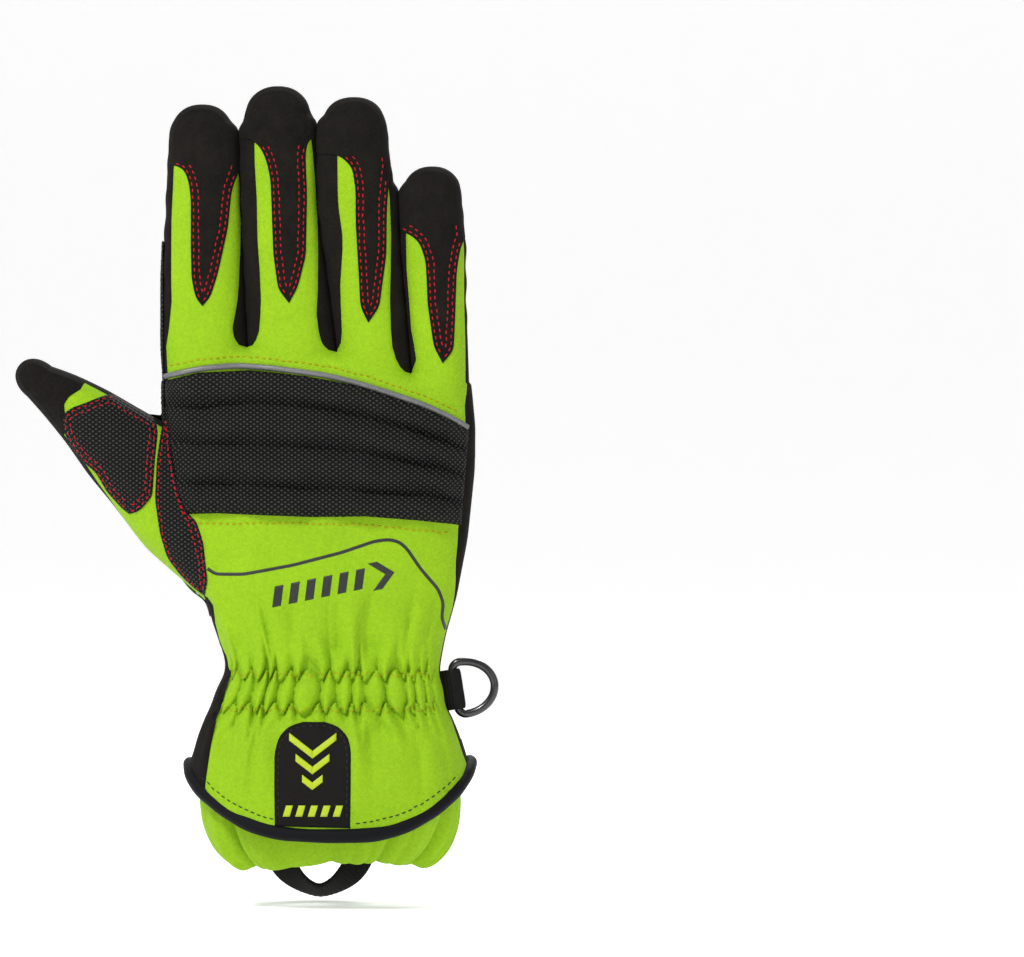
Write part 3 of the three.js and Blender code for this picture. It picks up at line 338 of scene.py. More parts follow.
def drape(x, z, side):
    """Low folds of the worn shell: finger creases, soft hollows and pulls."""
    wander = 0.28 * np.sin(x * 0.13 + 0.7 * np.sin(z * 0.09)) * np.sin(z * 0.11 + side)
    wander = wander + 0.16 * np.sin(x * 0.31 + z * 0.17 + 2 * side) * np.sin(z * 0.23 - x * 0.05)
    finger_zone = step(z, 126, 140)
    creases = 0.22 * finger_zone * np.sin(z * 0.42 + 1.3 * np.sin(x * 0.2)) * np.sin(z * 0.11 + x * 0.04)
    if side == PALM:
        thenar = np.exp(-(((x + 28 + 0.25 * (z - 60)) / 2.2) ** 2)) * step(z, 36, 50) * (1 - step(z, 78, 96))
        second = np.exp(-(((x + 38 + 0.35 * (z - 60)) / 2.6) ** 2)) * step(z, 34, 46) * (1 - step(z, 66, 84))
        return wander + creases - 1.1 * thenar - 0.8 * second
    pull = np.exp(-(((x + 20 + 0.55 * (z - 30)) / 5) ** 2)) * step(z, 14, 26) * (1 - step(z, 38, 60))
    dent = np.exp(-(((x - 12 - 0.35 * (z - 26)) / 3.2) ** 2)) * step(z, 12, 20) * (1 - step(z, 30, 48))
    return wander + creases + 0.9 * pull - 1.0 * dent


def crotch_level(x):
    """Height of the crotches, straight between their places."""
    return np.interp(x, CROTCH_X, CROTCH_Z)


def hand_height(x, z, side):
    """Depth times the rounded section of the palm, rounded down over the last 5 mm to the crotches."""
    left, right = HAND_LEFT(z), HAND_RIGHT(z)
    middle, half = (left + right) / 2, (right - left) / 2
    depth = (HAND_BACK if side == BACK else HAND_PALM)(z)
    top = crotch_level(x)
    end = np.clip((z - top + 5) / 5.2, 0, 1)
    share = (x - middle) / half
    height = depth * bulge(share, HAND_POWER) * np.sqrt(np.clip(1 - end ** 2, 0, 1))
    return np.where(
        (np.abs(share) <= 1) & (z < top + 0.2), height,
        -OUTSIDE_FALL * np.abs(np.abs(share) - 1) - 4 * np.maximum(z - top, 0)
    )


def height(x, z, side, folds=True):
    """Height of the glove's surface over a place, to the back or to the palm."""
    x, z = np.broadcast_arrays(np.asarray(x, float), np.asarray(z, float))
    total = hand_height(x, z, side)
    for finger in FINGER:
        near = 3.0 * (1 - step(z, crotch_level(x) - 4, crotch_level(x) + 8)) + 0.3
        total = smooth_max(total, np.where(z > 70, finger.height(x, z, side), -60), near)
    total = smooth_max(total, thumb_height(x, z, side), 5.0)
    if folds:
        total = total + gathers(x, z, side) + drape(x, z, side) * step(total, 1, 6)
    return total


def lift(x, z, side, offset=0.0, folds=True):
    """Points on the surface, moved outwards by an offset."""
    return np.stack([x, side * (height(x, z, side, folds) + offset), z], -1)


# ---------------------------------------------------------------- meshes

rng = np.random.default_rng(7)


class Builder:
    """Collects grids as one mesh with a planar map in millimetres."""

    def __init__(self, name):
        self.name, self.points, self.faces, self.uvs, self.count = name, [], [], [], 0

    def grid(self, points, uv=None, out=(0, -1, 0)):
        """Adds a grid of points whose faces turn towards a direction, away from the z axis
        ("radial") or away from the middle of each row ("tube")."""
        rows, cols = points.shape[:2]
        index = np.arange(rows * cols).reshape(rows, cols) + self.count
        a, b, c, d = index[:-1, :-1], index[:-1, 1:], index[1:, 1:], index[1:, :-1]
        normal = np.cross(points[1:, 1:] - points[:-1, :-1], points[1:, :-1] - points[:-1, 1:])
        if isinstance(out, str):
            centre = points.mean(1, keepdims=True)[:-1]
            away = points[:-1, :-1] - (centre if out == "tube" else centre * np.array([0, 0, 1.0]))
            facing = (normal * away)[: rows // 3 if out == "radial" else None].sum()
        else:
            facing = (normal * np.asarray(out, float)).sum()
        quads = np.stack([a, b, c, d] if facing > 0 else [a, d, c, b], -1).reshape(-1, 4)
        self.points.append(points.reshape(-1, 3))
        self.uvs.append((self.flattened(points) if uv is None else uv).reshape(-1, 2))
        self.faces.append(quads)
        self.count += rows * cols

    def flattened(self, points):
        """The planar map, with the distance along each row in place of x, so that a weave keeps its
        scale where the surface turns to the side."""
        step_x, step_y = np.diff(points[..., 0], axis=1), np.diff(points[..., 1], axis=1)
        smooth_y = 0.25 * np.roll(step_y, 1, 1) + 0.5 * step_y + 0.25 * np.roll(step_y, -1, 1)
        sign = np.where(step_x < 0, -1.0, 1.0)
        gone = np.cumsum(sign * np.hypot(step_x, smooth_y), axis=1)
        middle = points.shape[1] // 2
        gone = np.concatenate([np.zeros((len(points), 1)), gone], axis=1)
        return np.stack(
            [gone - gone[:, middle : middle + 1] + points[:, middle : middle + 1, 0], points[..., 2]], -1
        )

    def mesh(self, points, faces, uv):
        """Adds ready faces over points of their own."""
        self.points.append(points)
        self.faces.append(faces + self.count)
        self.uvs.append(uv)
        self.count += len(points)

    def build(self, material, body="glove", replaces=(), slot=None, weld=False):
        """Makes the object: points in metres, merged where asked, faces without area left out."""
        points = np.concatenate(self.points) * MM
        uvs = np.concatenate(self.uvs)[np.concatenate(self.faces)]
        quads = np.concatenate(self.faces)
        if weld:
            _, first, same = np.unique(
                np.round(points / (0.012 * MM)).astype(np.int64), axis=0, return_index=True,
                return_inverse=True
            )
            quads, points = same.reshape(-1)[quads], points[first]
        a, b, c, d = (points[quads[:, k]] for k in range(4))
        area = np.linalg.norm(np.cross(c - a, d - b), axis=1)
        whole = (area > 1e-12) & (np.sort(quads, 1)[:, 1:] != np.sort(quads, 1)[:, :-1]).all(1)
        quads, uvs = quads[whole], uvs[whole]
        mesh = bpy.data.meshes.new(self.name)
        mesh.vertices.add(len(points))
        mesh.vertices.foreach_set("co", points.ravel())
        mesh.loops.add(quads.size)
        mesh.loops.foreach_set("vertex_index", quads.ravel())
        mesh.polygons.add(len(quads))
        mesh.polygons.foreach_set("loop_start", np.arange(0, quads.size, 4))
        mesh.update(calc_edges=True)
        layer = mesh.uv_layers.new(name="UVMap")
        layer.data.foreach_set("uv", (uvs.reshape(-1, 2) * 0.01).ravel())
        mesh.polygons.foreach_set("use_smooth", np.full(len(quads), True))
        mesh.materials.append(material)
        mesh.validate()
        thing = bpy.data.objects.new(self.name, mesh)
        bpy.context.scene.collection.objects.link(thing)
        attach(thing, body)
        for node in replaces:
            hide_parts(node)
        return thing


def resample(line, count):
    """Points at even distances along a polyline."""
    line = np.asarray(line, float)
    gone = travel(line)
    at = np.linspace(0, gone[-1], count)
    return np.stack([np.interp(at, gone, line[:, k]) for k in range(line.shape[1])], -1)


def rounded(line, blur=1.6, spacing=0.4):
    """A polyline with its corners rounded off by a Gaussian and its ends kept."""
    line = np.asarray(line, float)
    length = np.linalg.norm(np.diff(line, axis=0), axis=1).sum()
    fine = resample(line, max(8, int(length / spacing)))
    reach = np.arange(-3 * blur, 3 * blur + spacing, spacing)
    kernel = np.exp(-0.5 * (reach / blur) ** 2)
    kernel /= kernel.sum()
    half = len(reach) // 2
    out = []
    for k in range(fine.shape[1]):
        wide = np.pad(fine[:, k], half, mode="reflect", reflect_type="odd")
        out.append(np.convolve(wide, kernel, mode="valid")[: len(fine)])
    return np.stack(out, -1)


def distance_to(points, line):
    """Distance of each point to a polyline, in the x-z plane."""
    flat = points.reshape(-1, 2)
    best = np.full(len(flat), 1e9)
    for a, b in zip(line[:-1], line[1:]):
        way = b - a
        t = np.clip(((flat - a) @ way) / max(way @ way, 1e-9), 0, 1)
        best = np.minimum(best, ((flat - a - t[:, None] * way) ** 2).sum(1))
    return np.sqrt(best).reshape(points.shape[:-1])


def weave(x, z, depth=0.2):
    """Relief of a coarse basket weave: short crosswise knots in offset rows."""
    row = z / 0.92
    shift = np.floor(row) % 2 * 0.5
    knot = np.abs(np.sin(np.pi * (x / 1.5 + shift))) ** 0.8 * np.abs(np.sin(np.pi * row)) ** 0.8
    jitter = 0.75 + 0.25 * np.sin(np.floor(row) * 2.3 + np.floor(x / 1.5 + shift) * 4.1)
    return depth * (knot * jitter - 0.4)


STITCH_RING = 6


def stitches(
    builder, line, side, offset, settings, pitch=None, dash=None, radius=None, wobble=0.1, steep=2.5,
    keep=None
):
    """Threads along a line on the surface: one at each pitch, pointed at its ends and sagging
    there, turned at random by the wobble, and left out where the surface is steep."""
    pitch = pitch or settings.stitch_pitch / MM
    dash = dash or settings.stitch_length / MM
    radius = radius or settings.thread_radius / MM
    length = np.linalg.norm(np.diff(line, axis=0), axis=1)
    line = line[np.concatenate([[True], length > 1e-6])]
    length = np.linalg.norm(np.diff(line, axis=0), axis=1)
    gone = np.concatenate([[0], np.cumsum(length)])
    count = int(gone[-1] / pitch)
    if count < 1:
        return
    centre = (np.arange(count) + 0.5) * pitch
    along = np.array([-0.5, -0.36, 0.0, 0.36, 0.5]) * dash
    size = np.array([0.35, 0.9, 1.0, 0.9, 0.35]) * radius
    sag = np.array([-0.3, -0.02, 0.08, -0.02, -0.3])
    at = centre[:, None] + along[None]
    x, z = np.interp(at, gone, line[:, 0]), np.interp(at, gone, line[:, 1])
    chord = np.hypot(x[:, -1] - x[:, 0], z[:, -1] - z[:, 0])
    apart = np.interp(centre, gone[1:], length)
    fine = (chord > dash * 0.75) & (apart < 2.2) & (steepness(x[:, 2], z[:, 2], side) < steep)
    if keep is not None:
        fine &= keep(x[:, 2], z[:, 2])
    x, z = x[fine], z[fine]
    shift = rng.normal(0, wobble, (len(x), 1))
    way = unit(np.stack([x[:, -1] - x[:, 0], z[:, -1] - z[:, 0]], -1), 1e-9)
    x, z = x - way[:, 1:] * shift, z + way[:, :1] * shift
    h = height(x, z, side) + (offset(x, z) if callable(offset) else offset) + sag[None]
    spine = np.stack([x, side * h, z], -1)
    tangent = unit(spine[:, -1] - spine[:, 0])
    out = np.broadcast_to(np.array([0.0, side, 0.0]), tangent.shape)
    across = unit(np.cross(tangent, out))
    normal = np.cross(across, tangent)
    angle = np.arange(STITCH_RING) * 2 * np.pi / STITCH_RING
    cosine, sine = np.cos(angle)[None, None, :, None], np.sin(angle)[None, None, :, None]
    circle = cosine * across[:, None, None] + sine * normal[:, None, None]
    points = spine[:, :, None] + circle * size[None, :, None, None]
    number, rings = len(x), len(along)
    index = np.arange(number * rings * STITCH_RING).reshape(number, rings, STITCH_RING)
    nxt = np.roll(index, -1, axis=2)
    faces = np.stack([index[:, :-1], nxt[:, :-1], nxt[:, 1:], index[:, 1:]], -1).reshape(-1, 4)
    builder.mesh(points.reshape(-1, 3), faces, points.reshape(-1, 3)[:, [0, 2]])


def tube(builder, path, radius, around=14, closed=False, level=(0.0, 0.0, 1.0)):
    """A round rod swept along a path: its sections are kept level with a direction that the path
    never takes."""
    path = np.asarray(path, float)
    if closed:
        way = np.roll(path, -1, axis=0) - np.roll(path, 1, axis=0)
    else:
        way = np.gradient(path, axis=0)
    way = unit(way)
    side = unit(np.cross(np.array(level) + 0 * way, way))
    top = np.cross(way, side)
    radius = np.broadcast_to(np.asarray(radius, float), (len(path),))
    angle = np.arange(around + 1) * 2 * np.pi / around
    ring = np.cos(angle)[None, :, None] * side[:, None] + np.sin(angle)[None, :, None] * top[:, None]
    points = path[:, None] + ring * radius[:, None, None]
    gone = travel(path)
    uv = np.stack(np.broadcast_arrays(gone[:, None], (angle * radius.mean())[None]), -1)
    if closed:
        points = np.concatenate([points, points[:1]])
        uv = np.concatenate([uv, uv[-1:] + [uv[1, 0, 0], 0]])
    builder.grid(points, uv, out="tube")


# ---------------------------------------------------------------- shell


def edges_at(index, z):
    """Silhouette of one finger's strip: the finger above its crotches, the hand at the outer sides."""
    left, right = FINGER[index].edges(z)
    if index == 0:
        own = np.where(z > 84, -left, -999)
        left = np.where(
            z < FINGER[0].base, -smooth_max(own, np.where(z < 112, -HAND_LEFT(z), -999), 2.0), left
        )
    if index == 3:
        own = np.where(z > 84, right, -999)
        right = np.where(
            z < FINGER[3].base, smooth_max(own, np.where(z < 112, HAND_RIGHT(z), -999), 2.0), right
        )
    return left, right


# edges of the hi-vis cloth beside each finger gap, from the crotch up: across, up
CLOTH_EDGE = {
    (0, 1): [(-31.3, 123.2), (-32.5, 124), (-34.2, 125.6), (-35.4, 128), (-36, 131.2), (-35.1, 136.3),
        (-34.2, 141.8), (-33.8, 149), (-33.4, 167.2), (-33.4, 179.9), (-33.8, 187.2), (-34.5, 203.6),
        (-34.5, 229)],
    (1, 0): [(-30.9, 123.2), (-29.4, 124.5), (-28, 126.5), (-26.7, 130.1), (-26.2, 135.9), (-26, 141.8),
        (-26.5, 152.7), (-27.3, 163.6), (-27.6, 178.1), (-28.4, 190.8), (-28.7, 207.2), (-28.7, 232.6)],
    (1, 1): [(-0.4, 122.9), (-2.2, 124), (-3.6, 126.1), (-4.7, 129.8), (-5.5, 136.3), (-5.1, 145.4),
        (-5.1, 159.9), (-5.6, 170.8), (-6.2, 181.8), (-7.3, 196.3), (-9.1, 210.8), (-10.2, 229)],
    (2, 0): [(0.4, 122.9), (2, 124), (2.9, 125.8), (3.3, 130.1), (2.9, 139.9), (2.7, 147.2), (3.5, 159.9),
        (3.3, 172.7), (2.9, 185.4), (1.8, 196.3), (1.1, 210.8), (1.1, 229)],
    (2, 1): [(26.9, 115), (25.1, 116.7), (23.3, 120), (22, 124.3), (21.4, 130.9), (21.1, 141.8),
        (21.3, 152.7), (21.4, 165.4), (20.9, 178.1), (20.2, 185.4), (19.3, 199.9), (18.5, 229)],
    (3, 0): [(27.6, 115), (29.1, 116.5), (30.2, 120), (29.4, 125.4), (28.4, 130.9), (27.6, 141.8),
        (26.7, 152.7), (26.5, 163.6), (26.5, 172.7), (27.3, 185.4), (27.3, 199.9)],
}
# the same at the outer sides of the hand, from the hem up: height, distance from the silhouette
LEFT_MARGIN = np.array([(-45, 7.5), (-28, 7.4), (-18, 8.0), (-11, 6.6), (-4, 5.2), (3.6, 4.2), (9, 1.4),
    (18, 0.4), (25, 1.1), (31, 2.4), (36, 0.4), (40, 0.05),
                        (92, 0.05), (100, 1.4), (113, 1.5), (125, 1.6), (131, 2.6), (141, 3.6), (153, 3.3),
                            (170, 2.6), (200, 2.4), (225, 2.4)])
RIGHT_MARGIN = np.array([(-45, 0.5), (-20, 0.4), (30, 0.4), (40, 1.4), (47, 2.6), (58, 3.6), (90, 3.6),
    (103, 3.0), (112, 1.3), (125, 0.9), (160, 0.7), (225, 0.7)])
STRIP_TOP = 130.0


def blurred(at, table):
    """A table of x over z, read with a light Gaussian blur."""
    order = np.argsort(table[:, 1])
    x, z = table[order, 0], table[order, 1]
    return sum(w * np.interp(at + d, z, x) for w, d in ((0.25, -0.5), (0.5, 0.0), (0.25, 0.5)))


def boundaries(index, z, side):
    """Left and right limits of a finger's strip, next to its side bands."""
    low, high = edges_at(index, z)
    half = np.maximum((high - low) / 2, 1e-3)
    level = np.minimum(z, FINGER[index].base)
    beside = edges_at(index, level)
    out = []
    for end, edge, sign in ((0, low, 1), (1, high, -1)):
        inner = (index > 0) if end == 0 else (index < 3)
        if not inner:
            table = LEFT_MARGIN if end == 0 else RIGHT_MARGIN
            margin = np.interp(z, table[:, 0], table[:, 1]) if side == BACK else np.where(
                (z > 36) & (z < 94) & (end == 0), 0.05, 2.5
            )
        else:
            gap = index - 1 if end == 0 else index
            crotch = CROTCH_Z[gap]
            seam = GAPS[gap](z)
            if side == BACK:
                margin = sign * (blurred(level, np.array(CLOTH_EDGE[(index, end)])) - beside[end])
                margin = np.clip(margin, 0.3, 8) * FINGER[index].dome(z)
            else:
                margin = STRIP_EDGE * np.clip((z - crotch) / 3.0, 0, 1) ** 0.5
        if inner:
            margin = np.where(z <= crotch, sign * (seam - edge), np.minimum(margin, half * 0.62))
        else:
            margin = np.minimum(margin, half * 0.5)
        out.append(edge + sign * margin)
    return out


def hem_level(x, side):
    """Height of the middle of the cuff binding over a place: it sags from the sides with the sine
    of the hem's oval."""
    share = np.clip(np.abs(x + HEM_SHIFT) / HEM_HALF, 0, 1)
    sine = np.sqrt(1 - np.minimum(share ** HEM_POWER, 1))
    return -HEM_TOP - (HEM_BACK_SAG * sine ** 1.35 if side == BACK else HEM_PALM_SAG * sine)


def slanted(x, z, side):
    """Heights from 10 mm below the wrist line down to the nominal hem, spread to the slanted hem."""
    fall = np.clip((-10 - z) / 17, 0, 1)
    return np.where(z < -10, -10 + (hem_level(x, side) + 10.9) * fall, z)


LEVELS = np.concatenate(
    [
        np.arange(-10, 24, 0.62), np.arange(24, 58, 0.85), np.arange(58, 112, 1.0),
        np.arange(112, STRIP_TOP, 0.6)
    ]
)


def finger_levels(index):
    """Heights of a finger's rows: even up to the dome, then by the sine of even angles."""
    finger = FINGER[index]
    straight = np.arange(STRIP_TOP, finger.base, 0.95)
    turn = np.sin(np.linspace(0, np.pi / 2, 16))
    return np.concatenate([straight, finger.base + (finger.tip - finger.base - 0.02) * turn])


def strip(index, side, columns=36):
    """One finger's panel from hem to tip: each row spans its limits at one height, and the rows
    below the wrist fan out to the slanted hem."""
    nominal = np.concatenate([np.linspace(-27, -10.5, 44), LEVELS, finger_levels(index)])
    if side == BACK:
        nominal = nominal[nominal < 0.6 * FINGER[index].base + 0.4 * FINGER[index].tip]
    low, high = boundaries(index, nominal, side)
    c = crowded(columns, 0.5)
    x = low[:, None] * (1 - c) + high[:, None] * c
    z = slanted(x, np.repeat(nominal[:, None], columns, 1), side)
    return lift(x, z, side), x, z


def seam_dip(distance, depth=0.5, width=0.7):
    """Depth of a seam at a distance from it: a bell curve."""
    return depth * np.exp(-((distance / width) ** 2))


def strip_with_seams(index, side):
    """A strip whose rims dip into the seams beside it."""
    points, x, z = strip(index, side)
    low, high = x[:, :1], x[:, -1:]
    above = [step(z, CROTCH_Z[g] - 2, CROTCH_Z[g] + 3) for g in range(3)]
    dip = np.zeros_like(x)
    dip += seam_dip(x - low) * (above[index - 1] if index else 1.0)
    dip += seam_dip(high - x) * (above[index] if index < 3 else 1.0)
    if side == PALM:
        dip *= 0.4
    points[..., 1] -= side * dip
    return points


def band(index, end, nominal, columns=21):
    """The side of a finger or of the hand: from the back panel's rim round the silhouette to the palm's,
    with the sample points gathered where the section turns."""
    edge = edges_at(index, nominal)[end]
    rim_back = boundaries(index, nominal, BACK)[end]
    rim_palm = boundaries(index, nominal, PALM)[end]
    t = np.linspace(-1, 1, columns)
    power = np.abs(t) ** POWER
    rim = np.where(t[None] < 0, rim_back[:, None], rim_palm[:, None])
    x = edge[:, None] + (rim - edge[:, None]) * power[None]
    z = np.repeat(nominal[:, None], columns, 1)
    z = np.where(t[None] < 0, slanted(x, z, BACK), slanted(x, z, PALM))
    y = np.where(t[None] < 0, -height(x, z, BACK), height(x, z, PALM))
    middle = mid_y(z)
    y = middle + (y - middle) * np.clip(np.abs(t[None]) / 0.2, 0, 1)
    dip = seam_dip((1 - np.abs(t[None])) * 4) * np.where(t[None] < 0, 1.0, 0.3)
    sign = -1 if end == 0 else 1
    soft = 0.22 * np.sin(z * 0.5 + index) * (1 - power) * step(z, 126, 140)
    points = np.stack([x + sign * (soft - 0.3 * dip), y - np.sign(t[None]) * 0.5 * dip, z], -1)
    return points, np.stack([y, z], -1)


def build_shell(materials):
    """Back and palm as four strips each, the outer sides, the thumb and the finger sides."""
    cloth, suede = materials["cloth"], materials["suede"]
    back = Builder("shell_back")
    palm = Builder("shell_palm")
    for index in range(4):
        back.grid(strip_with_seams(index, BACK), out=(0, -1, 0))
        palm.grid(strip_with_seams(index, PALM), out=(0, 1, 0))
    lower = np.concatenate([np.linspace(-27, -10.5, 44), LEVELS])
    for index, end in ((0, 0), (3, 1)):
        points, uv = band(index, end, np.concatenate([lower, finger_levels(index)]))
        palm.grid(points, uv, out=(-1 if end == 0 else 1, 0, 0))
    thumb_shell(palm, materials)
    back.build(cloth, replaces=("back_panel",), slot="hi_vis_cloth", weld=True)
    palm.build(suede, replaces=("palm_panel",), slot="black_suede", weld=True)
    names = ("index_middle", "middle_ring", "ring_little")
    for gap in range(3):
        piece = Builder("side_strip_" + names[gap])
        for index, end in ((gap, 1), (gap + 1, 0)):
            start = CROTCH_Z[gap] - 0.3
            nominal = np.concatenate([np.arange(start, STRIP_TOP, 0.4), finger_levels(index)])
            points, uv = band(index, end, nominal)
            piece.grid(points, uv, out=(1 if end == 1 else -1, 0, 0))
        piece.build(suede, replaces=("fourchette_" + names[gap],), slot="black_suede")


# ---------------------------------------------------------------- thumb


def thumb_place(s, off):
    """Across and up from the root: s along the thumb and an offset to its side."""
    return (
        THUMB_ROOT[0] + THUMB_WAY[0] * s + THUMB_SIDE[0] * off,
        THUMB_ROOT[1] + THUMB_WAY[1] * s + THUMB_SIDE[1] * off
    )


def thumb_ring(s, phi, side):
    """Points of the thumb over its own line: the angle runs from the upper edge (0) to the
    outer one (pi), and its cosine, to a power, is the share of the half width."""
    centre, wide, _, mid = thumb_section(s)
    off = centre + wide * signed(np.cos(phi), 2 / POWER)
    x, z = thumb_place(s, off)
    inside = step(x - HAND_LEFT(z), 0.2, 2.0)
    own = height(x, z, side) - 0.45 * inside
    flat = side * mid * step(s, -18, -4)
    turn = np.clip(np.abs(np.sin(phi)) / 0.12, 0, 1) * (1 - inside) + inside
    y = side * (flat + (own - flat) * turn)
    return np.stack([x, y, z], -1), off


THUMB_ROWS = np.concatenate(
    [
        np.arange(-11, THUMB_BASE, 0.9),
        THUMB_BASE + (THUMB_TIP - THUMB_BASE - 0.02) * np.sin(np.linspace(0, np.pi / 2, 14))
    ]
)
# seam between the palm and the thumb's side strip, on the palm side
THUMB_SEAM = np.array([(-116, 114.1), (-112, 110.9), (-105.4, 103.2), (-98.9, 96.3), (-90.1, 89.1),
    (-81.8, 81.8), (-69.4, 69.1), (-56, 57.8), (-51.6, 50.9), (-45.1, 43.6), (-38.5, 37.1), (-33.8, 32.7)])
SEAM_S = (THUMB_SEAM - THUMB_ROOT) @ THUMB_WAY
SEAM_OFF = (THUMB_SEAM - THUMB_ROOT) @ THUMB_SIDE


def thumb_shell(palm, materials):
    """The thumb's cloth back, its suede on both sides of the seam, and its side strip."""
    s = THUMB_ROWS[:, None]
    outer = np.interp(s, (-11, 28, 52, 95), (0.02, 0.05, 0.5, 0.6))
    upper = np.interp(s, (-11, 20, 95), (0.3, 0.5, 0.5))
    v = np.linspace(0, 1, 46)[None]
    phi = upper + (np.pi - outer - upper) * v
    points, _ = thumb_ring(s + 0 * phi, phi, BACK)
    green = Builder("thumb_back_cloth")
    rim = np.minimum(phi - upper, np.pi - outer - phi) * 12
    points[..., 1] += seam_dip(rim, 0.4, 0.8)
    green.grid(points[:-9], out=(0, -1, 0))
    green.build(materials["cloth"], replaces=("thumb_back",), slot="hi_vis_cloth")
    centre, wide, _, _ = thumb_section(THUMB_ROWS)
    order = np.argsort(SEAM_S)
    seam_off = np.interp(THUMB_ROWS, SEAM_S[order], SEAM_OFF[order])
    share = np.clip((seam_off - centre) / np.maximum(wide, 1e-3), -0.985, 0.9)
    seam_phi = np.arccos(np.clip(signed(share, POWER / 2), -1, 1))[:, None]
    v = np.linspace(0, 1, 40)[None]
    points, _ = thumb_ring(s + 0 * v, seam_phi * v, PALM)
    points[..., 1] -= seam_dip((seam_phi - seam_phi * v) * 11, 0.45, 0.8)
    palm.grid(points, out=(0, 1, 0))
    v = np.linspace(0, 1, 10)[None]
    points, _ = thumb_ring(s + 0 * v, upper * v, BACK)
    palm.grid(points, out=(0, -1, 0))
    side = Builder("thumb_side_strip")
    v = np.linspace(0, 1, 26)[None]
    phi = seam_phi + (np.pi - seam_phi) * v
    points, _ = thumb_ring(s + 0 * v, phi, PALM)
    points[..., 1] -= seam_dip((phi - seam_phi) * 11, 0.45, 0.8)
    side.grid(points, out=(0, 1, 0))
    v = np.linspace(0, 1, 10)[None]
    points, _ = thumb_ring(s + 0 * v, np.pi - outer * (1 - v), BACK)
    side.grid(points, out=(0, -1, 0))
    side.build(materials["suede"], replaces=("thumb_side",), slot="black_suede")


# ---------------------------------------------------------------- patches


def along(index, end, low, high, count=60):
    """Points up a finger's silhouette between two heights; the top ends at the fingertip."""
    finger = FINGER[index]
    high = min(high, finger.tip - 0.02)
    z = np.linspace(low, min(high, finger.base), count)
    if high > finger.base:
        t = (high - finger.base) / (finger.tip - finger.base)
        z = np.concatenate(
            [
                z,
                finger.base + (finger.tip - finger.base) * np.sin(
                    np.linspace(0.02, np.arcsin(min(t, 0.9999)), 24)
                )
            ]
        )
    return np.stack([edges_at(index, z)[end], z], -1)


class Patch:
    """A sewn-on panel: its rim, how far it stands off the glove, and its rows of stitches."""

    def __init__(self, flat, side, thick=0.8, soft=0.8, crown=0.0, reach=7.0, rows=STITCH_ROWS,
        relief=None):
        self.flat, self.side, self.thick, self.soft = flat, side, thick, soft
        self.crown, self.reach, self.rows, self.relief = crown, reach, rows, relief
        rim = np.concatenate([flat[0], flat[1:, -1], flat[-1, ::-1][1:], flat[::-1, 0][1:]])
        self.rim = resample(rim, 260)

    def rise(self, gone):
        """Thickness at a distance from the rim: a quarter circle, then a crown that levels off,
        less the grooves of the stitches."""
        edge = np.clip(gone / self.soft, 0, 1)
        out = self.thick * np.sqrt(1 - (1 - edge) ** 2) - 0.12
        if self.crown:
            out = out + self.crown * (1 - np.exp(-np.clip(gone - 3.2, 0, None) / self.reach * 3))
        for row in self.rows:
            out = out - GROOVE_DEPTH * np.exp(-(((gone - row) / GROOVE_WIDTH) ** 2))
        return out

    def points(self):
        """The panel's face: the surface, plus the rise, plus the relief."""
        gone = distance_to(self.flat, self.rim)
        x, z = self.flat[..., 0], self.flat[..., 1]
        out = self.rise(gone)
        if self.relief is not None:
            out = out + self.relief(x, z) * np.clip(gone / self.soft, 0, 1)
        return lift(x, z, self.side, out)

    def add_to(self, builder):
        """Adds the panel's face to a piece."""
        builder.grid(self.points(), out=(0, self.side, 0))

    def line(self, gap):
        """The rim moved inwards by a distance."""
        rim = self.rim[:-1]
        way = unit(np.roll(rim, -1, axis=0) - np.roll(rim, 1, axis=0), 1e-9)
        normal = np.stack([-way[:, 1], way[:, 0]], -1)
        area = np.sum(rim[:, 0] * np.roll(rim[:, 1], -1) - np.roll(rim[:, 0], -1) * rim[:, 1])
        moved = rim + gap * normal * (1 if area > 0 else -1)
        clear = distance_to(moved, self.rim) > gap * 0.95
        moved = moved[clear]
        return np.concatenate([moved, moved[:1]])

    def over(self, x, z):
        """How far the panel's face stands off the glove at a place."""
        return self.rise(distance_to(np.stack([x, z], -1), self.rim))

    def sew(self, threads, settings, steep=1.5, keep=None):
        """Sews the panel on along each of its rows."""
        for row in self.rows:
            stitches(threads, self.line(row), self.side, self.over, settings, steep=steep, keep=keep)


def near_line(line, reach=4.2):
    """A test for places nearer to a line than the reach."""
    return lambda x, z: distance_to(np.stack([x, z], -1), line) < reach


def add_patch(name, patch, material, node, slot):
    """A patch as a piece of its own, in place of a CAD node."""
    piece = Builder(name)
    patch.add_to(piece)
    return piece.build(material, replaces=(node,), slot=slot)


def clamp_hand(flat):
    """Places kept within the hand's outline."""
    x, z = flat[..., 0], flat[..., 1]
    return np.stack([np.clip(x, HAND_LEFT(z) + 0.2, HAND_RIGHT(z) - 0.25), z], -1)


def clamp_thumb(flat):
    """Places kept within the thumb's outline."""
    rel = flat - THUMB_ROOT
    s, off = rel @ THUMB_WAY, rel @ THUMB_SIDE
    centre, wide, _, _ = thumb_section(s)
    off = np.clip(off, centre - wide + 0.25, centre + wide - 0.25)
    return np.stack(thumb_place(s, off), -1)


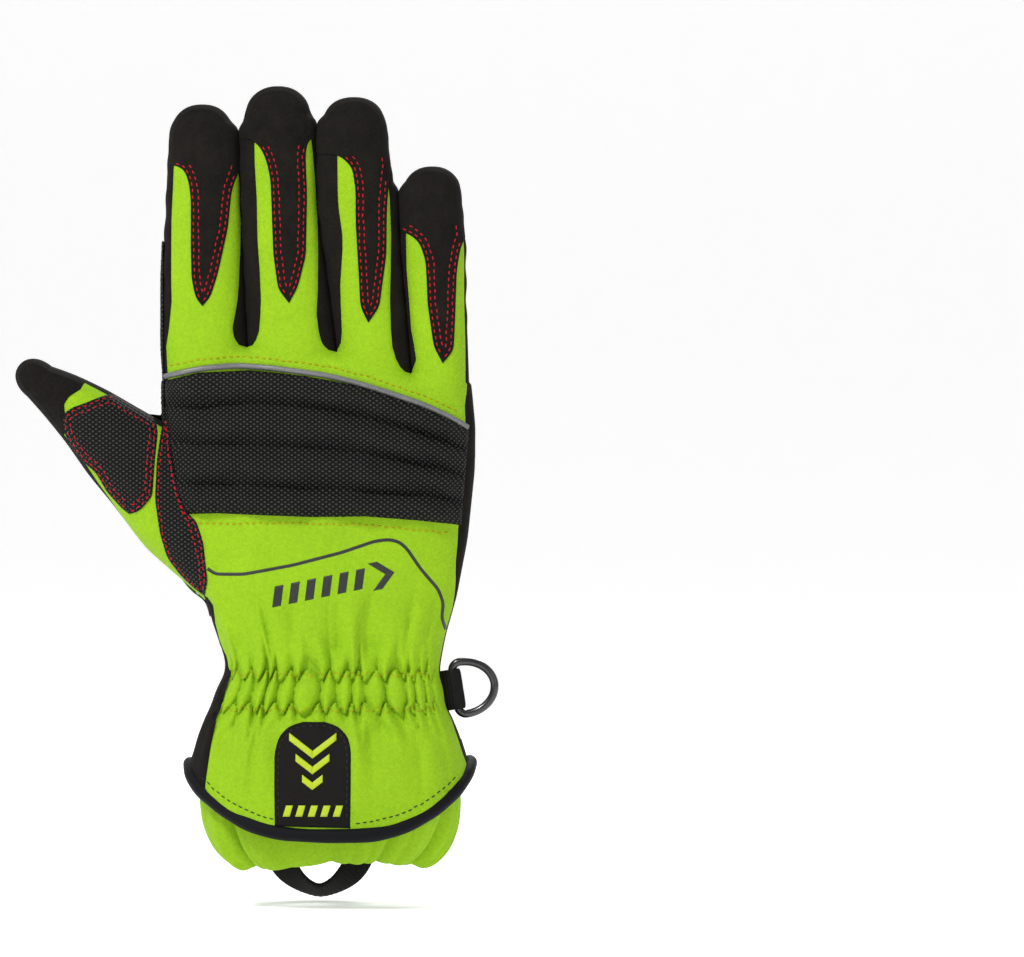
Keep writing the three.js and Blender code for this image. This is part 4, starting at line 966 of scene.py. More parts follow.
def between(left, right, cell=0.45, clamp=None, cluster=False):
    """Grid of places between two chains that run the same way."""
    left, right = rounded(left), rounded(right)
    length = max(
        np.linalg.norm(np.diff(left, axis=0), axis=1).sum(),
        np.linalg.norm(np.diff(right, axis=0), axis=1).sum()
    )
    count = int(np.clip(length / cell, 12, 420))
    left, right = resample(left, count), resample(right, count)
    columns = int(np.clip(np.linalg.norm(right - left, axis=1).max() / cell, 8, 320))
    u = crowded(columns, 0.35) if cluster else np.linspace(0, 1, columns)
    flat = left[:, None] * (1 - u[None, :, None]) + right[:, None] * u[None, :, None]
    return flat if clamp is None else clamp(flat)


def above(index, line, rows=90, columns=70):
    """Grid of places from a line across a finger up to its tip."""
    line = np.asarray(line, float)
    low, high = edges_at(index, line[:, 1])
    share = np.clip((line[:, 0] - low) / (high - low), 0, 1)
    order = np.argsort(share)
    c = crowded(columns, 0.3)
    start = np.interp(c, share[order], line[order, 1])
    v = np.sin(np.linspace(0, np.pi / 2, rows))[:, None]
    z = start[None] + (FINGER[index].tip - 0.03 - start[None]) * v
    low, high = edges_at(index, z)
    return np.stack([low + (high - low) * c[None], z], -1)


def above_thumb(line, floor=None, rows=80, columns=60):
    """Grid of places from a line across the thumb to its tip, optionally only on one side of a seam."""
    rel = np.asarray(line, float) - THUMB_ROOT
    s, off = rel @ THUMB_WAY, rel @ THUMB_SIDE
    order = np.argsort(off)
    s, off = s[order], off[order]
    c = crowded(columns, 0.3)
    start = np.interp(off[0] + (off[-1] - off[0]) * c, off, s)
    v = np.sin(np.linspace(0, np.pi / 2, rows))[:, None]
    along_way = start[None] + (THUMB_TIP - 0.03 - start[None]) * v
    centre, wide, _, _ = thumb_section(along_way)
    low = centre - wide
    if floor is not None:
        order = np.argsort(SEAM_S)
        low = np.maximum(low, np.interp(along_way, SEAM_S[order], SEAM_OFF[order]) + floor)
    high = np.maximum(centre + wide, low + 0.01)
    return np.stack(thumb_place(along_way, low + (high - low) * c[None]), -1)


# the tips on the back, per finger: left rim and the height where it meets the side, then the right
CAP_CHAINS = [
    ([(-46.9, 139.2), (-49.4, 142.1), (-50.9, 149), (-51.3, 161.4), (-51.3, 177.4), (-52, 183.9),
        (-53.8, 189), (-57.8, 190.8)], 190.5,
     [(-46.9, 139.2), (-44, 142.5), (-41.4, 150.9), (-37.9, 167.2), (-36.5, 181.5), (-34.5, 187.6)], 188.5),
    ([(-15.6, 140.3), (-19.6, 145.4), (-21.4, 158.8), (-22, 174.8), (-22.5, 185.4), (-24, 192.3),
        (-26.2, 197), (-29.4, 199.9)], 200.6,
     [(-15.6, 140.3), (-12.4, 146.1), (-9.5, 157.8), (-9.2, 179.9), (-9.8, 194.1), (-9.1, 199.6)], 201.0),
    ([(13.1, 133.2), (10.2, 138.9), (9.5, 151.9), (8.4, 169.8), (8.4, 181.4), (7.1, 189.7), (2.5, 194.1),
        (-1.8, 194.5)], 194.6,
     [(13.1, 133.2), (17.1, 138.9), (19.6, 157.8), (19.8, 175.6), (20.7, 187.9)], 190.0),
    ([(40, 118.5), (36.7, 124.7), (34.5, 139.9), (33.8, 155.6), (31.5, 162.5), (27.3, 165.8)], 166.5,
     [(40, 118.5), (44, 123.2), (44.5, 134.1), (45.1, 151.9), (46.5, 161)], 164.0),
]
# lower rims of the printed grips on the palm side
GRIP_LINES = [
    [(-62.9, 178.1), (-57.1, 180.3), (-54.9, 182.8), (-50.9, 184.3), (-43.3, 179.6), (-36.7, 173),
        (-32.4, 170.1)],
    [(-34.5, 186.1), (-30.9, 187.9), (-25.8, 195.2), (-20.7, 198.1), (-14.2, 195.6), (-9.1, 189.7),
        (-4.7, 188.3)],
    [(-6.9, 178.5), (-2.2, 181.4), (1.8, 186.5), (6.2, 188.7), (13.4, 186.1), (18.9, 179.9), (24.4, 178.1)],
    [(22.9, 157.4), (29.1, 158.8), (35.3, 166.5), (40.3, 169), (43.6, 168.7), (46.9, 166.1), (49.8, 164.3)],
]
DIGITS = ("index", "middle", "ring", "little")


def cap_patches(cell):
    """The four suede tips on the back, each between its rims run up to the fingertip."""
    out = []
    for index, (left, low, right, high) in enumerate(CAP_CHAINS):
        tip = FINGER[index].tip
        chain_left = np.concatenate([left, along(index, 0, low, tip)])
        chain_right = np.concatenate([right, along(index, 1, high, tip)])
        out.append(Patch(between(chain_left, chain_right, cell, cluster=True), BACK, thick=0.75, soft=0.6))
    return out


def thumb_cap_patch():
    """The suede tip on the back of the thumb."""
    line = [(-89.1, 113.4), (-92, 108.7), (-97.1, 104.7), (-100, 100.7), (-100.3, 95.6), (-99.6, 90.5),
        (-102.9, 86.5)]
    return Patch(above_thumb(line), BACK, thick=0.75, soft=0.6)


def grip_patches():
    """The five suede tips on the palm side."""
    out = [Patch(above(index, line), PALM, thick=0.7, soft=0.6) for index, line in enumerate(GRIP_LINES)]
    out.append(Patch(above_thumb([(-71.2, 110.5), (-74.2, 104.3), (-76.7, 90.9), (-80, 81.4)], floor=0.5),
        PALM, thick=0.7, soft=0.6))
    return out


def raised(builder, corners, side, base, thick, cells=(6, 3)):
    """A small raised print: a four-cornered shape laid on the surface, its rim sunk."""
    a, b, c, d = (np.asarray(p, float) for p in corners)
    u = np.linspace(0, 1, cells[0] + 1)[:, None, None]
    v = np.linspace(0, 1, cells[1] + 1)[None, :, None]
    core = (a * (1 - u) + b * u) * (1 - v) + (d * (1 - u) + c * u) * v
    core = np.concatenate([core[:1], core, core[-1:]], axis=0)
    core = np.concatenate([core[:, :1], core, core[:, -1:]], axis=1)
    out = np.full(core.shape[:2], thick)
    out[0], out[-1], out[:, 0], out[:, -1] = -0.1, -0.1, -0.1, -0.1
    x, z = core[..., 0], core[..., 1]
    level = base(x, z) if callable(base) else base
    builder.grid(lift(x, z, side, level + out), out=(0, side, 0))


def chevron(centre, size, arm, turn):
    """Two slanted bars that meet in a point, as four-cornered shapes."""
    cosine, sine = math.cos(turn), math.sin(turn)

    def place(u, v):
        return (centre[0] + u * cosine - v * sine, centre[1] + u * sine + v * cosine)

    half, drop = size / 2, size * 0.38
    left = [place(-half, -drop), place(0, 0), place(0, arm), place(-half, -drop + arm)]
    right = [place(0, 0), place(half, -drop), place(half, -drop + arm), place(0, arm)]
    return [left, right]


def grip_print(builder, patch, origin, way, pitch=6.4, inside=1.3):
    """Rows of nested chevrons over a grip pad, each kept clear of its rim and of its stitches."""
    angle = math.atan2(way[1], way[0]) - math.pi / 2
    rim = patch.rim
    for row in range(-9, 14):
        for column in range(-4, 5):
            u, v = (column + 0.5 * (row % 2)) * pitch, row * pitch * 0.62
            centre = (
                origin[0] + u * math.cos(angle) - v * math.sin(angle),
                origin[1] + u * math.sin(angle) + v * math.cos(angle)
            )
            for size, rise in ((4.9, 0.0), (2.6, -1.35)):
                middle = (centre[0] - rise * math.sin(angle), centre[1] + rise * math.cos(angle))
                shapes = chevron(middle, size, 0.95, angle)
                corners = np.array(shapes).reshape(-1, 2)
                if not inside_polygon(corners, rim).all():
                    continue
                gone = distance_to(corners, rim).min()
                if gone < inside or steepness(corners[:, 0], corners[:, 1], patch.side).max() > 1.7:
                    continue
                for corners in shapes:
                    raised(builder, corners, patch.side, patch.over, 0.2, (3, 2))


def inside_polygon(points, rim):
    """Whether each point lies inside a rim: a line to its right crosses the rim an odd number of times."""
    x, z = points[:, :1], points[:, 1:]
    (ax, az), (bx, bz) = rim[None, :-1].transpose(2, 0, 1), rim[None, 1:].transpose(2, 0, 1)
    cross = ((az > z) != (bz > z)) & (x < (bx - ax) * (z - az) / (bz - az + 1e-12) + ax)
    return cross.sum(1) % 2 == 1


def steepness(x, z, side):
    """Slope of the surface: the length of its two differences over 0.6 mm."""
    dx = np.abs(height(x + 0.3, z, side, False) - height(x - 0.3, z, side, False)) / 0.6
    dz = np.abs(height(x, z + 0.3, side, False) - height(x, z - 0.3, side, False)) / 0.6
    return np.hypot(dx, dz)


def build_tips(materials, settings):
    """Suede tips on both sides, their stitches and the printed chevrons."""
    threads = Builder("thread_tips")
    prints = Builder("grip_prints")
    for digit, patch in zip(DIGITS, cap_patches(0.6)):
        add_patch("tip_back_" + digit, patch, materials["suede"], "finger_cap_" + digit, "black_suede")
        limit = FINGER[DIGITS.index(digit)].tip - 26
        patch.sew(threads, settings, steep=1.2, keep=lambda x, z, limit=limit: z < limit + 4)
    add_patch("tip_back_thumb", thumb_cap_patch(), materials["suede"], "thumb_cap", "black_suede")
    for digit, patch in zip(DIGITS + ("thumb",), grip_patches()):
        add_patch("tip_palm_" + digit, patch, materials["suede"], "grip_tip_" + digit, "black_suede")
        if digit == "thumb":
            tip = np.array(thumb_place(THUMB_TIP - 8, 0.0))
            line = np.array([(-74.2, 104.3), (-76.7, 90.9), (-80, 81.4)])
            patch.sew(threads, settings, steep=1.6, keep=near_line(line))
            grip_print(prints, patch, tip, THUMB_WAY, inside=1.0)
        else:
            index = DIGITS.index(digit)
            line = np.array(GRIP_LINES[index])
            patch.sew(threads, settings, steep=1.6, keep=near_line(line))
            low, high = edges_at(index, FINGER[index].tip - 12)
            grip_print(prints, patch, ((low + high) / 2, FINGER[index].tip - 8), (0, 1), inside=1.0)
    threads.build(materials["red_thread"], slot="black_suede")
    prints.build(materials["print"], slot="grip_print")


# ---------------------------------------------------------------- woven guards

# the knuckle guard's rims and channels: across, then five heights from its top to its bottom
PAD_LINES = np.array([
    (-61.4, 112.3, 102.1, 90.1, 75.2, 64),
    (-48.3, 115.2, 103.2, 89.4, 74.5, 64.3),
    (-30.2, 116, 104, 88.7, 74.2, 63.6),
    (-10.2, 114.1, 103.2, 88.3, 73.4, 62.9),
    (9.8, 110.1, 99.2, 86.1, 72.3, 63.2),
    (29.8, 103.6, 93.8, 82.5, 71.2, 61.8),
    (48.3, 95.2, 87.6, 78.5, 69.4, 60),
])


def pad_lines(x):
    """Heights of the guard's five lines over x."""
    return np.stack([np.interp(x, PAD_LINES[:, 0], PAD_LINES[:, k]) for k in range(1, 6)], 0)


def pad_rise(x, z, lines):
    """Height of the padded knuckle guard: four half sine waves between its sewn lines, each with
    two slow waves along it."""
    rise = np.zeros_like(z)
    for k in range(4):
        high, low = lines[k], lines[k + 1]
        t = np.clip((high - z) / (high - low), 0, 1)
        inside = (z <= high) & (z > low)
        lump = 1 + 0.10 * np.sin(x * 0.21 + 2.1 * k) + 0.07 * np.sin(x * 0.47 + 1.3 * k)
        top = (4.8, 5.0, 4.9, 4.3)[k] * lump
        sway = 0.09 * np.sin(x * 0.18 + k) * np.sin(np.pi * t)
        ridge = np.abs(np.sin(np.pi * np.clip(t + sway, 0, 1)))
        rise = np.where(inside, top * ridge, rise)
    return rise


# side edges of the knuckle guard: up, across
PAD_LEFT = [(116, -61.0), (107.2, -61.0), (98.1, -59.6), (85.8, -58.2), (73.4, -56.0), (64.3, -52.9),
    (60.7, -51.3)]
PAD_RIGHT = [(100, 49.4), (92, 49.3), (60.3, 46.7)]


def build_pad(materials, settings):
    """The knuckle guard: a grid between its lines, raised by its ribs, ripples and weave, with a
    quarter-circle rim and flatter ends."""
    piece = Builder("knuckle_guard")
    x = np.arange(-61.0, 48.6, 0.42)
    lines = pad_lines(x)
    rows = 124
    v = np.linspace(0, 1, rows)
    z = lines[0][None] * (1 - v[:, None]) + lines[4][None] * v[:, None]
    xx = np.repeat(x[None], rows, 0)
    ripple = 0.35 * np.sin(xx * 0.33 + 0.9 * np.sin(z * 0.2)) + 0.2 * np.sin(xx * 0.71 + z * 0.3)
    edge = np.minimum(np.minimum(lines[0][None] - z, z - lines[4][None]), np.minimum(xx - x[0], x[-1] - xx))
    rim = np.clip(edge / 1.0, 0, 1)
    out = -0.15 + (
        0.75 + pad_rise(xx, z, lines[:, None]) + 0.3 * ripple + weave(xx, z, settings.weave_depth / MM)
    ) * np.sqrt(1 - (1 - rim) ** 2)
    ends = step(xx, x[0], x[0] + 7) * (1 - step(xx, x[-1] - 8, x[-1]))
    out = out * (0.45 + 0.55 * ends) + 0.2
    left = np.interp(z, *zip(*PAD_LEFT[::-1]))
    right = np.interp(z, *zip(*PAD_RIGHT[::-1]))
    xx = left + (xx - x[0]) / (x[-1] - x[0]) * (right - left)
    piece.grid(lift(xx, z, BACK, out, folds=False), out=(0, -1, 0))
    thing = piece.build(materials["woven"], replaces=("knuckle_pad",), slot="woven_patch")


def build_piping(materials):
    """The reflective piping: a rod laid on the back above the guard."""
    line = np.array([(-60.3, 114), (-47.3, 116.7), (-33.8, 117.8), (-20.7, 116.7), (-1.5, 114.1),
        (9.8, 111.2), (21.4, 107.6), (33.1, 103.6), (42.2, 99.4), (49.1, 95.4)])
    line = rounded(line, 3.0)
    line = resample(line, 150)
    y = -(height(line[:, 0], line[:, 1], BACK, False) + 0.75)
    piece = Builder("piping")
    tube(piece, np.stack([line[:, 0], y, line[:, 1]], -1), 1.05, 12)
    piece.build(materials["reflective"], replaces=("reflective_piping",), slot="reflective")


# rims of the woven patches: the left chain, then the right one, both from the bottom up
HEEL_OUTER = ([(27.3, 10.9), (21.4, 12.4), (16.7, 14.5), (13.8, 19.3), (14.5, 25.4), (17.4, 32.7),
    (20.7, 39.6), (22.5, 45.1), (23.3, 50.2), (22.5, 56), (18.9, 61.1), (14.5, 66.2), (9.5, 70.5),
    (6.2, 74.9), (4.7, 80), (5.8, 82.5), (9.5, 84.7), (12, 85.8)],
              [(27.3, 10.9), (33.4, 11.3), (38.9, 14.2), (42.2, 21.8), (44.7, 32.7), (47.3, 43.6),
                  (49.4, 58.2), (50.9, 69.1), (50.9, 74.9), (46.9, 77.1), (38.9, 82.2), (25.1, 86.1),
                  (14.9, 86.5)])
HEEL_INNER = ([(-9.1, 16), (-14.2, 17.1), (-17.8, 19.3), (-21.4, 22.9), (-24.4, 30.2), (-24, 36.4),
    (-24.4, 46.5), (-25.1, 54.5), (-26.5, 64.3), (-27.3, 70.5), (-29.1, 76.3), (-31.3, 81.4),
    (-33.1, 85.4), (-31.6, 89.1), (-26.9, 91.8)],
              [(-9.1, 16), (-1.8, 15.6), (4.4, 17.1), (8.7, 20.4), (12.4, 26.5), (14.2, 36.4),
                  (14.5, 41.8), (13.8, 49.8), (10.9, 60), (6.2, 67.6), (0, 74.2), (-9.5, 80.7),
                  (-15.6, 86.5), (-21.4, 92)])
PALM_CHAINS = ([(-42.2, 99.6), (-40.3, 97.8), (-22.9, 96), (2.5, 93.8), (24.4, 91.2), (46.5, 89.1),
    (51.3, 89.1)],
               [(-42.2, 101.8), (-40.7, 104.3), (-37.4, 109), (-32, 118.5), (-27.3, 123.6), (-20.7, 127.6),
                   (-13.8, 122.9), (-6.9, 116.7), (0.4, 124.7), (7.3, 128.7), (15.6, 120.7), (25.1, 110.5),
                   (33.1, 116), (40.3, 119.2), (46.9, 115.2), (50.2, 114.9)])
THUMB_CHAINS = ([(-73.8, 64), (-76, 65.4), (-82.2, 72), (-86.1, 79.2), (-90.5, 82.5), (-95.2, 88.3),
    (-98.3, 94.9), (-97.8, 100.7), (-93.8, 102.9)],
                [(-73.8, 64), (-70.2, 64.7), (-65.1, 70.2), (-64.2, 83.6), (-63.2, 93.8), (-64.7, 99.2),
                    (-69.8, 101.8), (-78.2, 106.5), (-80.3, 108), (-84.7, 106.5), (-90.5, 104)])
GUARD_BACK = ([(-46.5, 34.2), (-49.8, 36.4), (-54.9, 41.1), (-60, 48), (-62.5, 57.1), (-64.2, 69.4),
    (-63.6, 83.6), (-62.5, 92.3), (-61.8, 97.8), (-61.8, 101.1)],
              [(-46.5, 34.2), (-45.1, 39.6), (-45.8, 46.2), (-46.5, 53.8), (-49.1, 61.8), (-52.7, 64.7),
                  (-55.8, 73.4), (-58.2, 85.8), (-59.4, 98.1), (-60.2, 104)])
GUARD_PALM = ([(-48.7, 77.1), (-54.9, 78.5), (-61.1, 84.3), (-66.5, 90.9), (-70.3, 98.1), (-70.9, 101.4),
    (-67.2, 100), (-63.6, 98.1), (-61.8, 101.1), (-61.8, 105.4)],
              [(-48.7, 77.1), (-44.7, 78.9), (-42.2, 81.8), (-40.7, 90.1), (-44, 97.4), (-45.1, 104.3),
                  (-44.3, 106.9)])


def pad_patches(settings):
    """The woven patches by name, the two heel ones with a crown."""
    grid = dict(relief=lambda x, z: weave(x, z, settings.weave_depth / MM), soft=0.7)
    return {
        "palm_patch": Patch(between(*PALM_CHAINS, clamp=clamp_hand), PALM, thick=0.95, **grid),
        "heel_patch_outer": Patch(between(*HEEL_OUTER, clamp=clamp_hand), PALM, thick=1.0, crown=1.3, **grid),
        "heel_patch_inner": Patch(between(*HEEL_INNER), PALM, thick=1.0, crown=1.4, **grid),
        "thumb_patch": Patch(between(*THUMB_CHAINS, clamp=clamp_thumb), BACK, thick=0.95, **grid),
        "index_guard": Patch(between(*GUARD_BACK), BACK, thick=0.95, rows=STITCH_ROWS[:1], **grid),
        "guard_palm": Patch(between(*GUARD_PALM), PALM, thick=0.95, **grid),
    }


# the guard's rim on the palm side of the index finger
GUARD_RIM = np.array([(-56.3, 160.7), (-50.5, 158.8), (-48, 154.1), (-46.2, 147.2), (-44.3, 138.1),
    (-43.3, 128), (-42.5, 116.3), (-43.6, 109), (-45.1, 104.3), (-44.7, 100.3)])


def guard_wrap(settings):
    """The guard's part along the index finger: it wraps from the back round the side to the palm,
    each point moved out along the surface's normal by the rim, the weave and the grooves."""
    z = np.arange(97.0, GUARD_TOP, 0.45)
    edge = edges_at(0, z)[0]
    back = np.interp(z, (97, 104, 113, 131, GUARD_TOP), (-60.2, -60.8, -60.9, -61.0, -61.2))
    back = np.maximum(back, edge + 0.5)
    order = np.argsort(GUARD_RIM[:, 1])
    palm = np.interp(z, GUARD_RIM[order, 1], GUARD_RIM[order, 0])
    palm = np.minimum(palm, edge + 4 + 14 * np.sqrt(np.clip((163.6 - z) / 5, 0, 1)))
    t = np.concatenate([-np.linspace(1, 0.1, 8), np.linspace(0, 1, 84)])
    rim = np.where(t[None] < 0, back[:, None], palm[:, None])
    x = edge[:, None] + (rim - edge[:, None]) * np.abs(t[None]) ** np.where(t[None] < 0, 1.2, 1.9)
    zz = np.repeat(z[:, None], len(t), 1)
    y = np.where(t[None] < 0, -height(x, zz, BACK), height(x, zz, PALM))
    points = np.stack([x, y, zz], -1)
    points[:, 8, 1] = mid_y(z)
    across = np.gradient(points, axis=1)
    up = np.gradient(points, axis=0)
    normal = unit(np.cross(up, across), 1e-9)
    outward = np.stack([-np.ones_like(x), np.sign(t)[None] + 0 * x, 0 * x], -1)
    normal *= np.where((normal * outward).sum(2, keepdims=True) < 0, -1, 1)
    gone = np.minimum(np.abs(palm[:, None] - x), GUARD_TOP - zz)
    gone = np.where(t[None] < 0, np.minimum(np.abs(x - back[:, None]) + 0.2, GUARD_TOP - zz), gone)
    edge_rise = np.sqrt(1 - (1 - np.clip(gone / 0.7, 0, 1)) ** 2)
    around = np.concatenate(
        [np.zeros((len(z), 1)), np.cumsum(np.linalg.norm(np.diff(points, axis=1), axis=2), axis=1)], axis=1
    )
    out = 0.9 * edge_rise - 0.1 + weave(around, zz, settings.weave_depth / MM) * edge_rise
    for row in STITCH_ROWS:
        out -= GROOVE_DEPTH * np.exp(-(((gone - row) / GROOVE_WIDTH) ** 2)) * (t[None] > 0)
    return points + normal * out[..., None], np.stack([around, zz], -1)


def build_patches(materials, settings):
    """The woven patches, the guard through the thumb crotch, and their stitches."""
    patches = pad_patches(settings)
    threads = Builder("thread_patches")
    for name, patch in patches.items():
        if name in ("index_guard", "guard_palm"):
            continue
        thing = add_patch(name + "_woven", patch, materials["woven"], name, "woven_patch")
        patch.sew(threads, settings, steep=1.9)
    guard = Builder("index_guard_woven")
    patches["index_guard"].add_to(guard)
    patches["guard_palm"].add_to(guard)
    points, uv = guard_wrap(settings)
    guard.grid(points, uv, out=(-1, 0.3, 0))
    guard.build(materials["woven"], replaces=("index_guard",), slot="woven_patch")
    patches["index_guard"].sew(threads, settings, steep=2.0, keep=lambda x, z: z < 100)

    def off_thumb(x, z):
        aside = (x - THUMB_ROOT[0]) * THUMB_SIDE[0] + (z - THUMB_ROOT[1]) * THUMB_SIDE[1]
        return (z < 101) & (aside < 15.5) | (x > -52)

    patches["guard_palm"].sew(threads, settings, steep=2.0, keep=off_thumb)
    rim = rounded(GUARD_RIM, 1.5)
    for gap in STITCH_ROWS:
        line = rim + np.array([-gap, 0])
        line[:, 0] = np.minimum(
            line[:, 0],
            edges_at(0, line[:, 1])[0] + 4 + 14 * np.sqrt(np.clip((163.6 - line[:, 1]) / 5, 0, 1)) - gap
        )
        stitches(threads, line[line[:, 1] > 99], PALM, 0.7, settings)
    for line, patch in zip(INNER_LINES, (patches["heel_patch_outer"], patches["heel_patch_inner"])):
        stitches(threads, rounded(line, 1.5), PALM, patch.over, settings)
    threads.build(materials["red_thread"], slot="woven_patch")


# the second seams of the outer and the inner heel patch
INNER_LINES = (
    np.array([(26.2, 74.5), (22.5, 70.5), (27.3, 61.1), (30.2, 45.4), (28.7, 28.7), (28, 21.8),
        (38.2, 20.7)]),
    np.array([(6.2, 56.3), (9.1, 43.3), (7.3, 31.3), (1.8, 24.7), (-6.9, 24.4), (-13.1, 28.7),
        (-14.9, 40.7), (-16.7, 61.1), (-21.8, 76.3)]),
)


def build_thumb_base(materials):
    """The hi-vis cloth that wraps from the back round the root of the thumb to the palm side."""
    left = np.array([(-35.3, 10.9), (-38.9, 12.7), (-41.8, 18.2), (-44, 24.7), (-46.5, 32.4),
        (-51.3, 35.6), (-55.6, 40.7)])
    right = np.array([(-35.3, 10.9), (-32, 12.4), (-25.8, 20), (-25.4, 22.9), (-32, 26.9), (-37.8, 35.6),
        (-43.6, 33.1), (-48, 33.1), (-52.7, 38.9)])
    patch = Patch(between(left, right, 0.7), PALM, thick=0.75, soft=1.2, rows=())
    corner_left = np.array([(42.2, -29.1), (43.3, -22.5), (46.9, -17.4)])
    corner_right = np.array([(54.9, -29.1), (53.4, -22.5), (49.8, -15.6)])
    corner = Patch(
        between(corner_left, corner_right, 0.7, clamp=clamp_hand), PALM, thick=0.4, soft=1.0, rows=()
    )
    piece = Builder("thumb_base_cloth")
    flat = patch.flat
    outside = HAND_LEFT(flat[..., 1]) + 0.1
    flat[..., 0] = np.where(flat[..., 1] < 27, np.maximum(flat[..., 0], outside), flat[..., 0])
    beside = 1 - step(flat[..., 0] - outside, 0.3, 3.0)
    gone = np.maximum(distance_to(flat, patch.rim), 3 * beside)
    points = lift(flat[..., 0], flat[..., 1], PALM, patch.rise(gone))
    points[..., 0] -= 0.45 * beside * (1 - step(flat[..., 1], 24, 30))
    piece.grid(points, out=(0, 1, 0))
    flat = corner.flat
    beside = 1 - step(HAND_RIGHT(flat[..., 1]) - 0.25 - flat[..., 0], 0.3, 3.0)
    gone = np.maximum(distance_to(flat, corner.rim), 3 * beside)
    piece.grid(lift(flat[..., 0], flat[..., 1], PALM, corner.rise(gone)), out=(0, 1, 0))
    piece.build(materials["cloth"], replaces=("back_panel",), slot="hi_vis_cloth")


# ---------------------------------------------------------------- cuff


def hem_path(count=240):
    """Middle of the cuff binding: an oval that sags with its sine, more at the back."""
    theta = np.linspace(0, 2 * np.pi, count, endpoint=False)
    s, c = np.sin(theta), np.cos(theta)
    x = HEM_HALF * signed(c, 2 / HEM_POWER) - HEM_SHIFT
    y = np.where(s < 0, HEM_BACK_DEPTH, HEM_PALM_DEPTH) * signed(s, 2 / HEM_POWER)
    z = -HEM_TOP - np.where(s < 0, HEM_BACK_SAG * np.abs(s) ** 1.35, HEM_PALM_SAG * np.abs(s))
    return np.stack([x, y, z], -1)


# the inner cuff from under the binding round its lower edge and up inside: height, share of the
# hem's width, share of its depth, share of the folds
CUFF_ROWS = np.array([
    (-25.4, .90, .80, 0), (-37.5, .935, .86, .25), (-47.4, .90, .85, .7), (-55.2, .82, .77, 1),
    (-60.2, .73, .69, 1), (-62.9, .64, .61, .9), (-61.2, .57, .55, .7), (-54, .60, .58, .55),
    (-44, .66, .64, .4), (-30, .72, .66, .2),
])
CUFF_LOBES = 11


def build_cuff(materials, settings):
    """The binding as a rod along the hem, the inner cuff as an oval times its rows' shares with
    lobes of sines round it, and the label with its stitches and motif."""
    path = hem_path()
    length = np.arange(len(path)) / len(path) * 2 * np.pi
    path[:, 2] += 0.5 * np.sin(3 * length + 0.6) + 0.35 * np.sin(7 * length)
    radius = 2.62 + 0.1 * np.sin(9 * length + 1) + 0.06 * np.sin(23 * length)
    piece = Builder("binding_roll")
    tube(piece, path, radius, 20, closed=True)
    piece.build(materials["binding"], replaces=("cuff_binding",), slot="black_binding")

    v = np.linspace(0, len(CUFF_ROWS) - 1, 92)
    at = np.arange(len(CUFF_ROWS)) * 10.0
    profile = np.stack([Curve(at, CUFF_ROWS[:, k], 3.0)(v * 10) for k in range(4)], -1)
    theta = np.linspace(0, 2 * np.pi, 361)
    phase = theta + 0.16 * np.sin(2 * theta + 0.7) + 0.07 * np.sin(5 * theta)
    fold = np.abs(np.sin(phase * CUFF_LOBES / 2)) ** 0.55 - 0.6
    fine = np.abs(np.sin(phase * CUFF_LOBES * 1.5 + 0.5 * np.sin(3 * theta))) ** 0.7 - 0.6
    size = 1 + 0.35 * np.sin(2 * theta + 1) + 0.3 * np.sin(3 * theta + 2.2)
    wave = profile[:, 3:4] * (3.6 * fold * size + 0.7 * fine)[None]
    sine, cosine = np.sin(theta)[None], np.cos(theta)[None]
    x = (HEM_HALF * profile[:, 1:2] + wave) * signed(cosine, 2 / 2.2) - HEM_SHIFT
    y = (np.where(sine < 0, HEM_BACK_DEPTH, HEM_PALM_DEPTH) * profile[:, 2:3] + wave) * signed(sine, 2 / 2.2)
    z = profile[:, 0:1] - profile[:, 3:4] * (
        3.4 * fold * size + 0.6 * fine
    )[None] - 0.8 * profile[:, 3:4] * np.sin(theta * 2 + 0.6)[None]
    points = np.stack([x, y, z], -1)
    around = np.cumsum(np.linalg.norm(np.diff(points[40], axis=0), axis=1))
    uv = np.stack(np.broadcast_arrays(np.concatenate([[0], around])[None], (v * 9)[:, None]), -1)
    piece = Builder("inner_cuff_cloth")
    piece.grid(points, uv, out="radial")
    piece.build(materials["cloth"], replaces=("inner_cuff",), slot="hi_vis_cloth", weld=True)

    label = Patch(between([(-20.2, -48), (-20.4, -32.7), (-20.4, -21.8), (-18.9, -16), (-15.3, -12.2),
        (-10.2, -10.7)],
                          [(7.1, -48.7), (7.3, -36.4), (7.3, -21.1), (6.2, -16), (2.5, -12.2),
                              (-2.5, -10.7)], 0.6), BACK, thick=0.8, soft=0.5, rows=(1.5,))
    add_patch("label_tongue", label, materials["label"], "cuff_label", "black_binding")
    threads = Builder("thread_label")
    label.sew(threads, settings, steep=2.5, keep=lambda x, z: z > -45.5)
    x = np.linspace(-47, 45, 220)
    x = x[(x < -20.6) | (x > 8.2)]
    line = np.stack([x, hem_level(x, BACK) + 4.6], -1)
    stitches(threads, line, BACK, 0.05, settings, dash=1.7, radius=0.2)
    threads.build(materials["black_thread"], slot="black_binding")
    motif = Builder("label_motif")
    middle = (-6.6, -21.0)
    for size, drop in ((17.0, 0.0), (12.2, -5.6), (7.4, -11.2)):
        for corners in chevron((middle[0], middle[1] + drop), size, 2.7, math.pi):
            raised(motif, corners, BACK, label.over, 0.16, (8, 4))
    for k in range(5):
        left = -17.2 + k * 4.5
        raised(motif, [(left, -44.4), (left + 2.5, -44.4), (left + 3.7, -40.4),
            (left + 1.2, -40.4)], BACK, label.over, 0.16, (4, 4))
    motif.build(materials["bright_print"], slot="hi_vis_cloth")


